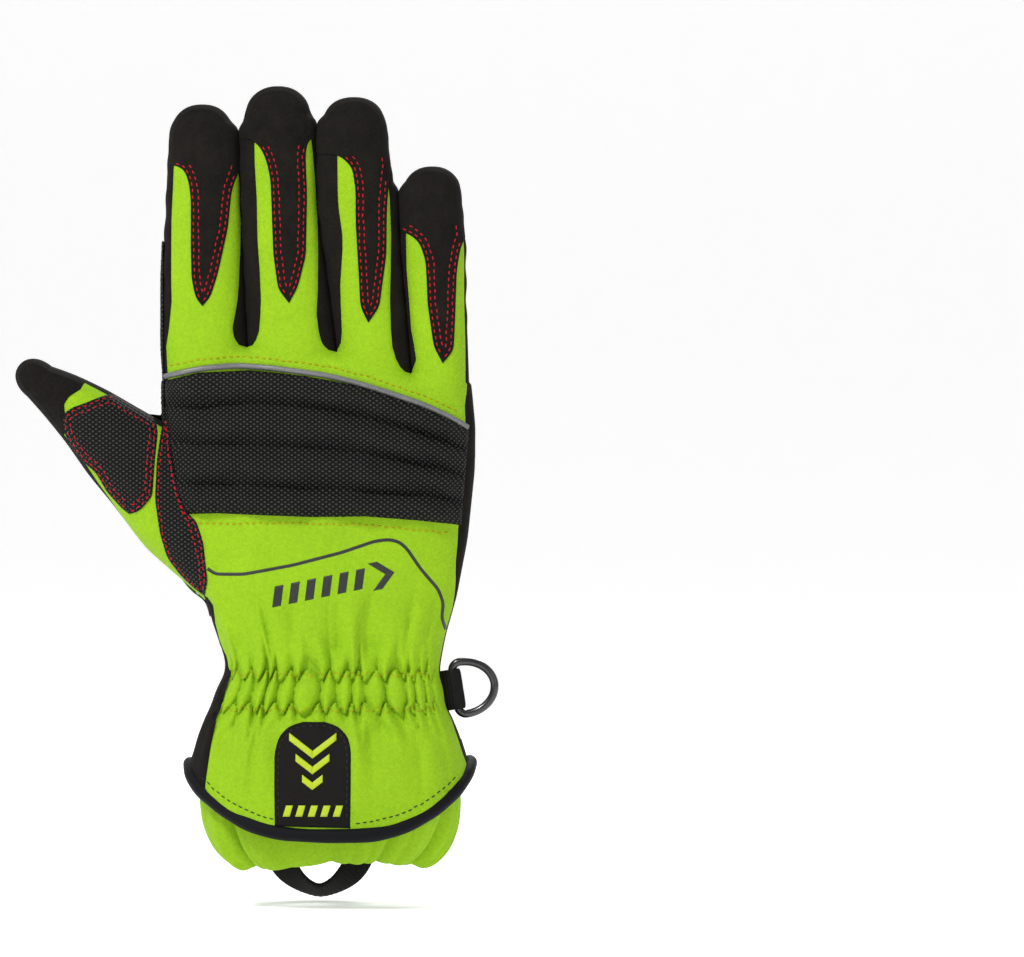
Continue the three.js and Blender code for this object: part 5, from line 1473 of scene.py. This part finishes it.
def bar_frame(points):
    """From the ring's own frame, whose z is the bar, to the glove's: a turn of 9 degrees, then the
    bar's place."""
    turn = math.radians(-9)
    x = points[..., 0] * math.cos(turn) + points[..., 2] * math.sin(turn) + 44.4
    z = -points[..., 0] * math.sin(turn) + points[..., 2] * math.cos(turn) + 0.4
    return np.stack([x, points[..., 1] - 2.0, z], -1)


def webbing_strap(builder, path, wide, width, thick, rib=1.6, deep=0.14):
    """A flat woven strap along a path: rounded edges, ribs across, cords along its edges."""
    path, wide = np.asarray(path, float), np.asarray(wide, float)
    way = unit(np.gradient(path, axis=0))
    wide = unit(wide - way * (wide * way).sum(1, keepdims=True))
    flat = np.cross(way, wide)
    gone = travel(path)
    angle = np.linspace(0, 2 * np.pi, 57)
    u = signed(np.cos(angle), 0.42)
    w = signed(np.sin(angle), 0.6)
    across = u * width / 2
    ribs = np.abs(np.sin(np.pi * (gone[:, None] / rib + 0.06 * np.abs(u)[None] * 2)))
    cords = 0.75 + 0.25 * np.abs(np.sin(np.pi * across / 1.25))[None]
    edge = (np.abs(u) < 0.93)[None]
    relief = deep * (ribs * cords - 0.5) * edge
    half = thick / 2 * w[None] + relief * np.sign(w)[None] * (np.abs(w)[None] > 0.3)
    points = path[:, None] + wide[:, None] * across[None, :, None] + flat[:, None] * half[..., None]
    uv = np.stack(np.broadcast_arrays(across[None] + 0 * gone[:, None], gone[:, None]), -1)
    builder.grid(points, uv, out="tube")


RING_HEIGHT, RING_WIRE, RING_CORNER, RING_REACH = 22, 1.5, 3, 11.4
# the pull loop: its ends' places across, their heights, its bottom, how far its bend starts above it
LOOP_LEFT, LOOP_RIGHT, LOOP_LEFT_TOP, LOOP_RIGHT_TOP = 21.4, 10.2, 41.6, 40.6
LOOP_BOTTOM, LOOP_BEND, LOOP_DEPTH = -74.6, 15.8 * 1.15, 30.4


def build_ring(materials):
    """The D-ring as a rod round a bar, two corners and half an oval, its strap round the bar with
    two tails, and the pull loop, a strap that turns by a squared sine towards its bottom."""
    half = RING_HEIGHT / 2 - RING_WIRE
    corner = RING_CORNER
    bar = [(0, 0, half - corner - t * 2 * (half - corner)) for t in np.linspace(0, 1, 10)]
    low = [
        (corner * (1 - math.cos(a)), 0, -(half - corner) - corner * math.sin(a))
        for a in np.linspace(0.15, math.pi / 2, 8)
    ]
    arc = [
        (corner + RING_REACH * math.cos(a), 0, half * math.sin(a))
        for a in np.linspace(-math.pi / 2 + 0.05, math.pi / 2 - 0.05, 46)
    ]
    high = [
        (corner * (1 - math.cos(a)), 0, half - corner + corner * math.sin(a))
        for a in np.linspace(math.pi / 2, 0.15, 8)
    ]
    path = np.array(bar + low + arc + high)
    piece = Builder("ring_wire")
    tube(piece, path, RING_WIRE, 20, closed=True, level=(0.0, 1.0, 0.0))
    piece.points = [bar_frame(p) for p in piece.points]
    piece.build(materials["metal"], body="ring", replaces=("d_ring",), slot="coated_metal")

    strap = Builder("ring_webbing")
    angle = np.linspace(math.radians(-128), math.radians(128), 40)
    circle = np.stack([2.45 * np.cos(angle), 2.45 * np.sin(angle), 0 * angle], -1)
    tail = np.array([(-10.6, 0.66), (-8, 0.68), (-5.6, 0.75), (-3.6, 1.15), (-2.4, 1.6)])
    low_tail = np.stack([tail[:, 0], -tail[:, 1], 0 * tail[:, 0]], -1)
    high_tail = np.stack([tail[::-1, 0], tail[::-1, 1], 0 * tail[:, 0]], -1)
    path = np.concatenate([low_tail, circle, high_tail])
    path = resample(rounded(path, 0.5, 0.2), 130)
    wide = np.repeat(np.array([[0.0, 0.0, 1.0]]), len(path), 0)
    webbing_strap(strap, path, wide, 14.6, 1.15, rib=1.2, deep=0.26)
    strap.points = [bar_frame(p) for p in strap.points]
    strap.build(materials["webbing"], replaces=("ring_tab",), slot="webbing")

    loop = Builder("loop_webbing")
    middle, reach = (-LOOP_LEFT + LOOP_RIGHT) / 2, (LOOP_RIGHT + LOOP_LEFT) / 2
    bend = LOOP_BOTTOM + LOOP_BEND
    t = np.linspace(0, 1, 250)
    turn = np.pi * np.clip((t - 0.25) / 0.5, 0, 1)
    x = middle + reach * signed(np.cos(turn), 1.3)
    z = bend + (LOOP_BOTTOM - bend) * np.sin(turn)
    z = np.where(t < 0.25, -LOOP_LEFT_TOP + (bend + LOOP_LEFT_TOP) * t / 0.25, z)
    z = np.where(t > 0.75, -LOOP_RIGHT_TOP + (bend + LOOP_RIGHT_TOP) * (1 - t) / 0.25, z)
    path = np.stack([x, LOOP_DEPTH + 0 * t, z], -1)
    path = resample(rounded(path, 1.2, 0.3), 300)
    t = np.linspace(0, 1, 300)
    way = unit(np.gradient(path, axis=0))
    depth = np.array([0.0, 1.0, 0.0])
    plane = unit(np.cross(way, depth))
    twist = math.radians(62) * np.sin(np.pi * np.clip((t - 0.2) / 0.6, 0, 1)) ** 2
    wide = plane * np.cos(twist)[:, None] + depth * np.sin(twist)[:, None]
    webbing_strap(loop, path, wide, 10.0, 1.6, rib=1.6, deep=0.32)
    loop.build(materials["webbing"], replaces=("pull_loop",), slot="webbing")


# ---------------------------------------------------------------- stitching and print


def ribbon(builder, line, width, side, offset):
    """A flat printed line on the surface."""
    length = np.linalg.norm(np.diff(line, axis=0), axis=1).sum()
    line = resample(rounded(line, 1.2, 0.4), max(20, int(length / 0.6)))
    way = unit(np.gradient(line, axis=0))
    normal = np.stack([-way[:, 1], way[:, 0]], -1)
    across = np.array([-0.5, -0.5, -0.2, 0.2, 0.5, 0.5]) * width
    out = np.array([-0.1, offset, offset, offset, offset, -0.1])
    flat = line[:, None] + normal[:, None] * across[None, :, None]
    builder.grid(lift(flat[..., 0], flat[..., 1], side, out[None]), out=(0, side, 0))


def build_stitching(materials, settings):
    """Seams above and below the guard, the thread in the elastic rows, the guard's own seam, and
    the printed line, bars and arrowhead on the back."""
    bright = Builder("thread_back")
    top = rounded([(-59.3, 117.8), (-47.3, 120.1), (-33.8, 121.2), (-20.7, 120.1), (-1.5, 117.4),
        (9.8, 114.7), (21.4, 110.9), (33.1, 106.9), (42.2, 102.9), (47.3, 100.3)], 2)
    low = rounded([(-48.7, 60.7), (-33.8, 60.7), (-12, 60.7), (9.8, 60.3), (29.8, 58.5), (44.3, 56.7)], 2)
    for line in (top, low):
        stitches(bright, line, BACK, 0.05, settings, dash=1.6, radius=0.26)
    for z in ELASTIC_ROWS:
        x = np.linspace(HAND_LEFT(z) + 4, HAND_RIGHT(z) - 2.5, 300)
        sway = 0.8 * np.sin(x / 6.1 * 2 * np.pi)
        stitches(
            bright, np.stack([x, z + sway * (1 if z > 0 else -1)], -1), BACK, 0.05, settings, pitch=2.1,
            dash=1.5, radius=0.2
        )
    bright.build(materials["cloth_thread"], slot="hi_vis_cloth")
    dark = Builder("thread_guard")
    guard = rounded([(-61.1, 105.4), (-59.6, 98.1), (-58.2, 85.8), (-56, 73.4), (-52.9, 64.3),
        (-49.8, 58.5), (-47.3, 47.3), (-46.5, 37.1)], 2)
    stitches(dark, guard + np.array([-1.1, 0]), BACK, 0.75, settings)
    dark.build(materials["red_thread"], slot="woven_patch")
    prints = Builder("printed_lines")
    ribbon(prints, [(-45.1, 44.3), (-42.5, 42.3), (-32, 42.3), (-14.2, 45.6), (3.6, 50.2), (15.3, 54.2),
        (20.4, 54.9), (24.4, 54), (27.3, 51.3), (32, 44.3), (38.5, 36.7), (40.3, 31.6), (39.6, 26.5),
        (41.1, 22.2)], 1.15, BACK, 0.1)
    angle = math.radians(11.5)
    origin = np.array((-1.1, 38.2))

    def place(u, v):
        return origin + np.array(
            [u * math.cos(angle) - v * math.sin(angle), u * math.sin(angle) + v * math.cos(angle)]
        )

    for k in range(6):
        left = -21.5 + k * 6.0
        raised(prints, [place(left, -3.6), place(left + 3.2, -3.6), place(left + 5.6, 3.6),
            place(left + 2.4, 3.6)], BACK, 0.0, 0.1, (8, 10))
    for corners in ((15.4, 5.0, 20.8, 0.0), (20.8, 0.0, 15.4, -5.0)):
        a, b = place(corners[0], corners[1]), place(corners[2], corners[3])
        shift = place(3.4, 0) - place(0, 0)
        raised(prints, [a, a + shift, b + shift, b], BACK, 0.0, 0.1, (6, 10))
    prints.build(materials["black_print"], slot="black_binding")


# ---------------------------------------------------------------- materials


class Shader:
    """Builds one procedural material node by node."""

    def __init__(self, name, roughness, color=(0.5, 0.5, 0.5), **sockets):
        self.material = bpy.data.materials.new(name)
        self.material.use_nodes = True
        self.material.diffuse_color = (*color, 1)
        self.nodes, self.links = self.material.node_tree.nodes, self.material.node_tree.links
        self.surface = self.nodes["Principled BSDF"]
        self.surface.inputs["Roughness"].default_value = roughness
        self.surface.inputs["Base Color"].default_value = (*color, 1)
        for key, value in sockets.items():
            self.surface.inputs[key.replace("_", " ")].default_value = value
        place = self.nodes.new("ShaderNodeTexCoord")
        self.space, self.plane = place.outputs["Object"], place.outputs["UV"]

    def feed(self, socket, value):
        """Links an output to a socket, or sets the socket to a value."""
        if isinstance(value, bpy.types.NodeSocket):
            self.links.new(value, socket)
        else:
            socket.default_value = value

    def math(self, operation, a, b=0.0, c=0.0):
        """One sum or function of up to three values."""
        node = self.nodes.new("ShaderNodeMath")
        node.operation = operation
        for socket, value in zip(node.inputs, (a, b, c)):
            self.feed(socket, value)
        return node.outputs[0]

    def noise(self, size_mm, detail=3.0, rough=0.55, stretch=(1, 1, 1)):
        """Noise in the object's space with grains of a size in mm."""
        mapping = self.nodes.new("ShaderNodeMapping")
        self.links.new(self.space, mapping.inputs["Vector"])
        mapping.inputs["Scale"].default_value = [1000 / size_mm * k for k in stretch]
        node = self.nodes.new("ShaderNodeTexNoise")
        self.links.new(mapping.outputs[0], node.inputs["Vector"])
        node.inputs["Scale"].default_value = 1.0
        node.inputs["Detail"].default_value = detail
        node.inputs["Roughness"].default_value = rough
        return node.outputs["Fac"]

    def waves(self, *terms):
        """Sum of sines over the piece's own plane: each term is (cycles per mm across, up, weight)."""
        split = self.nodes.new("ShaderNodeSeparateXYZ")
        self.links.new(self.plane, split.inputs[0])
        total = None
        for across, up, weight in terms:
            turn = self.math("MULTIPLY", split.outputs[0], across * 100 * 2 * math.pi)
            turn = self.math("MULTIPLY_ADD", split.outputs[1], up * 100 * 2 * math.pi, turn)
            wave = self.math("MULTIPLY", self.math("SINE", turn), weight)
            total = wave if total is None else self.math("ADD", total, wave)
        return total

    def knots(self, wide, tall):
        """Offset rows of knots over the piece's own plane: a sine across times a sine up."""
        split = self.nodes.new("ShaderNodeSeparateXYZ")
        self.links.new(self.plane, split.inputs[0])
        a = self.math("SINE", self.math("MULTIPLY", split.outputs[0], 100 * math.pi / wide))
        b = self.math("SINE", self.math("MULTIPLY", split.outputs[1], 100 * math.pi / tall))
        return self.math("MULTIPLY", a, b)

    def ramp(self, value, low, high, start=0.3, end=0.7):
        """A colour between two, straight between two values."""
        node = self.nodes.new("ShaderNodeValToRGB")
        node.color_ramp.elements[0].position, node.color_ramp.elements[1].position = start, end
        node.color_ramp.elements[0].color, node.color_ramp.elements[1].color = (*low, 1), (*high, 1)
        self.links.new(value, node.inputs["Fac"])
        return node.outputs["Color"]

    def mix(self, factor, a, b):
        """The share 1 - factor of one colour plus the factor of the other."""
        node = self.nodes.new("ShaderNodeMix")
        node.data_type = "RGBA"
        self.feed(node.inputs["Factor"], factor)
        self.feed(node.inputs["A"], a if isinstance(a, bpy.types.NodeSocket) else (*a, 1))
        self.feed(node.inputs["B"], b if isinstance(b, bpy.types.NodeSocket) else (*b, 1))
        return node.outputs["Result"]

    def color(self, value):
        """Gives the surface its colour."""
        self.links.new(value, self.surface.inputs["Base Color"])

    def roughness(self, value, low, high):
        """Gives the surface a roughness that runs from low to high with a value."""
        node = self.nodes.new("ShaderNodeMapRange")
        self.links.new(value, node.inputs["Value"])
        node.inputs["To Min"].default_value, node.inputs["To Max"].default_value = low, high
        self.links.new(node.outputs[0], self.surface.inputs["Roughness"])

    def bump(self, *layers):
        """Each layer is (height, strength, depth in mm), the coarsest first."""
        last = None
        for value, strength, depth in layers:
            node = self.nodes.new("ShaderNodeBump")
            node.inputs["Strength"].default_value = strength
            node.inputs["Distance"].default_value = depth * MM
            self.links.new(value, node.inputs["Height"])
            if last is not None:
                self.links.new(last, node.inputs["Normal"])
            last = node.outputs[0]
        self.links.new(last, self.surface.inputs["Normal"])


def cloth_material():
    """Stretch cloth: a slanted knit of two sines over mottled yellow-green."""
    shader = Shader(
        "hi_vis_stretch_cloth", 0.78, (0.24, 0.45, 0.002), Specular_IOR_Level=0.25, Sheen_Weight=0.02,
        Sheen_Roughness=0.5
    )
    knit = shader.waves((0.95, 0.55, 0.5), (-0.35, 1.05, 0.5))
    mottled = shader.noise(1.3, 2.0, 0.6)
    broad = shader.noise(22, 3.0)
    base = shader.ramp(broad, (0.205, 0.40, 0.0015), (0.25, 0.465, 0.002), 0.35, 0.65)
    speck = shader.ramp(mottled, (0.165, 0.33, 0.001), (0.29, 0.53, 0.006), 0.3, 0.7)
    base = shader.mix(0.42, base, speck)
    shade = shader.math("MULTIPLY_ADD", knit, 0.25, 0.5)
    shader.color(shader.mix(shade, base, shader.mix(0.35, base, (0.34, 0.58, 0.012))))
    shader.bump((mottled, 0.25, 0.25), (knit, 0.35, 0.16))
    return shader.material


def suede_material(name="black_suede_nap", low=(0.0035, 0.003, 0.0025), high=(0.0145, 0.0125, 0.0102)):
    """Suede: a fine nap, scuffs and broad patches of wear, each a noise between two blacks."""
    shader = Shader(name, 0.93, high, Sheen_Weight=0.01, Sheen_Roughness=0.55, Specular_IOR_Level=0.1)
    nap = shader.noise(0.55, 4.0, 0.7)
    patches = shader.noise(9.0, 4.0, 0.6)
    scuffs = shader.noise(3.0, 5.0, 0.7, (1, 1, 0.5))
    base = shader.ramp(patches, low, high, 0.3, 0.72)
    worn = shader.ramp(scuffs, low, tuple(1.7 * k for k in high), 0.45, 0.85)
    grain = shader.ramp(nap, tuple(0.45 * k for k in low), tuple(1.5 * k for k in high), 0.25, 0.8)
    shader.color(shader.mix(0.45, shader.mix(0.35, base, worn), grain))
    shader.bump((scuffs, 0.3, 0.5), (nap, 0.6, 0.3))
    return shader.material


def woven_material():
    """Woven guard: grey knots over fuzzy black."""
    shader = Shader("woven_guard", 0.72, (0.02, 0.02, 0.02), Specular_IOR_Level=0.14)
    knots = shader.knots(1.25, 0.85)
    fuzz = shader.noise(0.5, 3.0, 0.65)
    broad = shader.noise(14, 3.0)
    base = shader.ramp(fuzz, (0.003, 0.003, 0.003), (0.030, 0.029, 0.028), 0.3, 0.75)
    base = shader.mix(0.4, base, shader.ramp(broad, (0.005, 0.005, 0.005), (0.018, 0.0175, 0.017), 0.3, 0.7))
    raised_knots = shader.ramp(knots, (0.0015, 0.0015, 0.0015), (0.10, 0.097, 0.093), 0.25, 0.95)
    shader.color(shader.mix(0.7, base, raised_knots))
    shader.bump((knots, 0.8, 0.5), (fuzz, 0.4, 0.2))
    return shader.material


def thread_material(name, dark, light):
    """Sewing thread, mottled between two colours."""
    shader = Shader(name, 0.65, light, Specular_IOR_Level=0.2)
    twist = shader.noise(0.35, 2.0, 0.5)
    shader.color(shader.ramp(twist, dark, light, 0.3, 0.7))
    shader.bump((twist, 0.4, 0.1))
    return shader.material


def print_material(name, color, roughness, coat=0.0, speck=0.25):
    """Print or rubber, one colour that varies by the share speck."""
    shader = Shader(name, roughness, color, Coat_Weight=coat, Coat_Roughness=0.25)
    worn = shader.noise(1.1, 4.0, 0.65)
    fine = shader.noise(0.4, 2.0)
    dark, light = (tuple(k * share for k in color) for share in (1 - speck, 1 + speck))
    shader.color(shader.ramp(worn, dark, light, 0.3, 0.7))
    shader.bump((fine, 0.3, 0.12))
    return shader.material


def binding_material(name, color, scale=1.0):
    """Binding, label cloth and webbing: slanted ribs of two sines under a fuzz."""
    shader = Shader(name, 0.6, color, Specular_IOR_Level=0.12)
    rib = shader.waves((1.6 * scale, 0.9 * scale, 0.5), (-1.2 * scale, 1.4 * scale, 0.5))
    fuzz = shader.noise(0.6, 3.0)
    shader.color(shader.ramp(fuzz, tuple(0.6 * k for k in color), tuple(1.5 * k for k in color), 0.3, 0.75))
    shader.roughness(fuzz, 0.45, 0.7)
    shader.bump((fuzz, 0.25, 0.15), (rib, 0.4, 0.12))
    return shader.material


def metal_material():
    """Gloss black coating, a little worn."""
    shader = Shader("gloss_coated_wire", 0.22, (0.008, 0.008, 0.009), Coat_Weight=0.5, Coat_Roughness=0.12)
    wear = shader.noise(2.5, 5.0, 0.7)
    shader.color(shader.ramp(wear, (0.006, 0.006, 0.007), (0.03, 0.028, 0.026), 0.55, 0.8))
    shader.roughness(wear, 0.16, 0.36)
    shader.bump((wear, 0.15, 0.1))
    return shader.material


def reflective_material():
    """Grey film with fine beads."""
    shader = Shader("reflective_piping", 0.42, (0.2, 0.2, 0.2), Metallic=0.25)
    beads = shader.noise(0.35, 2.0, 0.5)
    broad = shader.noise(12, 3.0)
    shader.color(
        shader.mix(
            0.4, shader.ramp(broad, (0.10, 0.10, 0.105), (0.17, 0.17, 0.17)),
            shader.ramp(beads, (0.10, 0.10, 0.10), (0.36, 0.36, 0.36))
        )
    )
    shader.bump((beads, 0.3, 0.1))
    return shader.material


def colors():
    """The add-on's settings, which hold the two colours in use."""
    return bpy.context.scene.glove


MAKERS = {
    "cloth": cloth_material,
    "suede": suede_material,
    "woven": woven_material,
    "reflective": reflective_material,
    "metal": metal_material,
    "red_thread": lambda: thread_material(
        "red_thread", tuple(0.42 * k for k in colors().thread_color), tuple(colors().thread_color)),
    "black_thread": lambda: thread_material("black_thread", (0.006, 0.006, 0.006), (0.03, 0.03, 0.03)),
    "cloth_thread": lambda: thread_material("bright_thread", (0.30, 0.24, 0.002), (0.50, 0.38, 0.004)),
    "print": lambda: print_material("grip_rubber", tuple(colors().grip_color), 0.34, 0.25),
    "bright_print": lambda: print_material("label_print", (0.42, 0.54, 0.003), 0.45, 0.0, 0.06),
    "black_print": lambda: print_material("printed_black", (0.012, 0.014, 0.012), 0.5, 0.0, 0.3),
    "binding": lambda: binding_material("smooth_binding", (0.0035, 0.0037, 0.0052)),
    "label": lambda: binding_material("label_cloth", (0.005, 0.0045, 0.004), 1.4),
    "webbing": lambda: binding_material("ribbed_webbing", (0.0055, 0.0052, 0.005), 0.8),
}


def material(name):
    """The named material, made on first use."""
    if name not in MADE:
        MADE[name] = MAKERS[name]()
    return MADE[name]


MADE = {}


class Materials:
    """The materials by name."""

    def __getitem__(self, name):
        return material(name)


# ---------------------------------------------------------------- add-on


class GloveSettings(bpy.types.PropertyGroup):
    """What a user may change: the threads, the weave, two colours and the studio's light."""

    stitch_pitch: bpy.props.FloatProperty(
        name="Stitch pitch", description="Length of one stitch and its gap",
        default=0.0024, min=0.0012, max=0.005, precision=5, unit="LENGTH", subtype="DISTANCE")
    stitch_length: bpy.props.FloatProperty(
        name="Stitch length", description="Length of the thread that shows",
        default=0.0016, min=0.0005, max=0.004, precision=5, unit="LENGTH", subtype="DISTANCE")
    thread_radius: bpy.props.FloatProperty(
        name="Thread radius", description="Radius of the sewing thread",
        default=0.00027, min=0.0001, max=0.0006, precision=5, unit="LENGTH", subtype="DISTANCE")
    weave_depth: bpy.props.FloatProperty(
        name="Weave depth", description="Relief of the woven guards", default=0.0003, min=0.0, max=0.0008,
        precision=5, unit="LENGTH", subtype="DISTANCE")
    thread_color: bpy.props.FloatVectorProperty(
        name="Thread colour", description="Colour of the thread in the seams", default=(0.60, 0.007, 0.018),
        size=3, min=0.0, max=1.0, subtype="COLOR")
    grip_color: bpy.props.FloatVectorProperty(
        name="Grip colour", description="Colour of the printed grip", default=(0.050, 0.068, 0.086),
        size=3, min=0.0, max=1.0, subtype="COLOR")
    backdrop: bpy.props.FloatProperty(
        name="Studio light", description="Brightness of the studio", default=1.0,
        min=0.0, max=3.0, subtype="FACTOR")


class PieceOperator:
    """What the operators that build pieces share."""
    bl_options = {"REGISTER", "UNDO"}

    def execute(self, context):
        self.build(context.scene.glove, Materials())
        return {"FINISHED"}


class GLOVE_OT_shell(PieceOperator, bpy.types.Operator):
    """Cloth back, suede palm, finger sides and thumb"""
    bl_idname = "glove.shell"
    bl_label = "Shell"

    def build(self, settings, materials):
        build_shell(materials)
        build_thumb_base(materials)


class GLOVE_OT_tips(PieceOperator, bpy.types.Operator):
    """Suede fingertips and their printed grips"""
    bl_idname = "glove.tips"
    bl_label = "Fingertips"

    def build(self, settings, materials):
        build_tips(materials, settings)


class GLOVE_OT_guards(PieceOperator, bpy.types.Operator):
    """Woven guards and pads, and the piping above the knuckles"""
    bl_idname = "glove.guards"
    bl_label = "Woven guards"

    def build(self, settings, materials):
        build_pad(materials, settings)
        build_piping(materials)
        build_patches(materials, settings)


class GLOVE_OT_cuff(PieceOperator, bpy.types.Operator):
    """Binding, inner cuff and label"""
    bl_idname = "glove.cuff"
    bl_label = "Cuff"

    def build(self, settings, materials):
        build_cuff(materials, settings)


class GLOVE_OT_ring(PieceOperator, bpy.types.Operator):
    """Ring, its tab and the pull loop"""
    bl_idname = "glove.ring"
    bl_label = "Ring and loop"

    def build(self, settings, materials):
        build_ring(materials)


class GLOVE_OT_stitching(PieceOperator, bpy.types.Operator):
    """Seams in thread and printed lines on the back"""
    bl_idname = "glove.stitching"
    bl_label = "Stitching"

    def build(self, settings, materials):
        build_stitching(materials, settings)


class GLOVE_OT_stage(bpy.types.Operator):
    """Floor, light and camera"""
    bl_idname = "glove.stage"
    bl_label = "Studio"
    bl_options = {"REGISTER", "UNDO"}

    def execute(self, context):
        build_stage(context, context.scene.glove)
        return {"FINISHED"}


class GLOVE_PT_panel(bpy.types.Panel):
    """Settings and operators in the sidebar"""
    bl_label = "Rescue glove"
    bl_idname = "GLOVE_PT_panel"
    bl_space_type = "VIEW_3D"
    bl_region_type = "UI"
    bl_category = "Glove"

    def draw(self, context):
        settings = context.scene.glove
        for name in GloveSettings.__annotations__:
            self.layout.prop(settings, name)
        for operator in PIECE_OPERATORS:
            self.layout.operator(operator.bl_idname)


def lamp(name, energy, place, aim, size):
    """A round area lamp turned towards a place."""
    data = bpy.data.lights.new(name, "AREA")
    data.energy = energy
    data.shape = "DISK"
    data.size = size
    thing = bpy.data.objects.new(name, data)
    thing.location = place
    way = np.array(aim) - np.array(place)
    thing.rotation_euler = Vector(way).to_track_quat("-Z", "Y").to_euler()
    bpy.context.scene.collection.objects.link(thing)


# the studio in metres: half its floor, the floor's height, where it starts to curve up into the
# wall, the radius of that curve and the top of the wall; the light of paper and world
FLOOR_REACH, FLOOR_LEVEL, WALL_START, WALL_ROUND, WALL_TOP = 9.0, -0.0785, 4.2, 1.5, 7.0
PAPER_GLOW = 0.42
# the camera: how far off it stands, its place across and up, and the width it sees at the glove
CAMERA_AWAY, CAMERA_X, CAMERA_Z, SEEN_WIDTH, SENSOR = 2.5, 0.06507, 0.0769, 0.3722, 36.0


def build_stage(context, settings):
    """Paper floor that curves up into a wall, an even world, three lamps and the camera, whose lens
    is its sensor times its distance over the width it sees."""
    scene = context.scene
    mesh = bpy.data.meshes.new("studio_floor")
    reach, level = FLOOR_REACH, FLOOR_LEVEL
    curve = [
        (WALL_START + WALL_ROUND * math.sin(a), level + WALL_ROUND - WALL_ROUND * math.cos(a))
        for a in np.linspace(0, np.pi / 2, 25)
    ]
    profile = [(-reach, level), *curve, (WALL_START + WALL_ROUND, WALL_TOP)]
    corners = [(x, y, z) for y, z in profile for x in (-reach, reach)]
    faces = [(2 * k, 2 * k + 1, 2 * k + 3, 2 * k + 2) for k in range(len(profile) - 1)]
    mesh.from_pydata(corners, [], faces)
    mesh.polygons.foreach_set("use_smooth", [True] * len(faces))
    floor = bpy.data.objects.new("studio_floor", mesh)
    shader = Shader("studio_paper", 0.9, (0.86, 0.86, 0.86))
    grain = shader.noise(8, 2.0)
    shader.color(shader.ramp(grain, (0.88, 0.88, 0.88), (0.90, 0.90, 0.90)))
    shader.surface.inputs["Emission Color"].default_value = (1, 1, 1, 1)
    shader.surface.inputs["Emission Strength"].default_value = PAPER_GLOW
    mesh.materials.append(shader.material)
    scene.collection.objects.link(floor)
    world = bpy.data.worlds.new("studio")
    world.use_nodes = True
    world.node_tree.nodes["Background"].inputs["Color"].default_value = (1, 1, 1, 1)
    world.node_tree.nodes["Background"].inputs["Strength"].default_value = PAPER_GLOW * settings.backdrop
    scene.world = world
    middle = (0, 0, 0.075)
    lamp("key", 30.0 * settings.backdrop, (-0.9, -1.1, 1.5), middle, 0.45)
    lamp("fill", 4.0 * settings.backdrop, (1.3, -1.2, 0.5), middle, 1.0)
    lamp("rim", 14.0 * settings.backdrop, (0.3, 1.4, 1.2), middle, 0.8)
    data = bpy.data.cameras.new("camera")
    data.sensor_width = SENSOR
    data.lens = SENSOR * CAMERA_AWAY / SEEN_WIDTH
    data.clip_start, data.clip_end = 0.05, 50
    camera = bpy.data.objects.new("camera", data)
    camera.location = (CAMERA_X, -CAMERA_AWAY, CAMERA_Z)
    camera.rotation_euler = (math.pi / 2, 0, 0)
    scene.collection.objects.link(camera)
    scene.camera = camera
    scene.view_settings.view_transform = "Standard"


PIECE_OPERATORS = (
    GLOVE_OT_shell, GLOVE_OT_tips, GLOVE_OT_guards, GLOVE_OT_cuff, GLOVE_OT_ring, GLOVE_OT_stitching,
    GLOVE_OT_stage
)
CLASSES = (GloveSettings, *PIECE_OPERATORS, GLOVE_PT_panel)


def register():
    """Registers the classes and the settings."""
    for cls in CLASSES:
        bpy.utils.register_class(cls)
    bpy.types.Scene.glove = bpy.props.PointerProperty(type=GloveSettings)


def unregister():
    """Takes them away again."""
    del bpy.types.Scene.glove
    for cls in reversed(CLASSES):
        bpy.utils.unregister_class(cls)


def main():
    register()
    for name in ("shell", "tips", "guards", "cuff", "ring", "stitching", "stage"):
        getattr(bpy.ops.glove, name)()


if __name__ == "__main__":
    main()
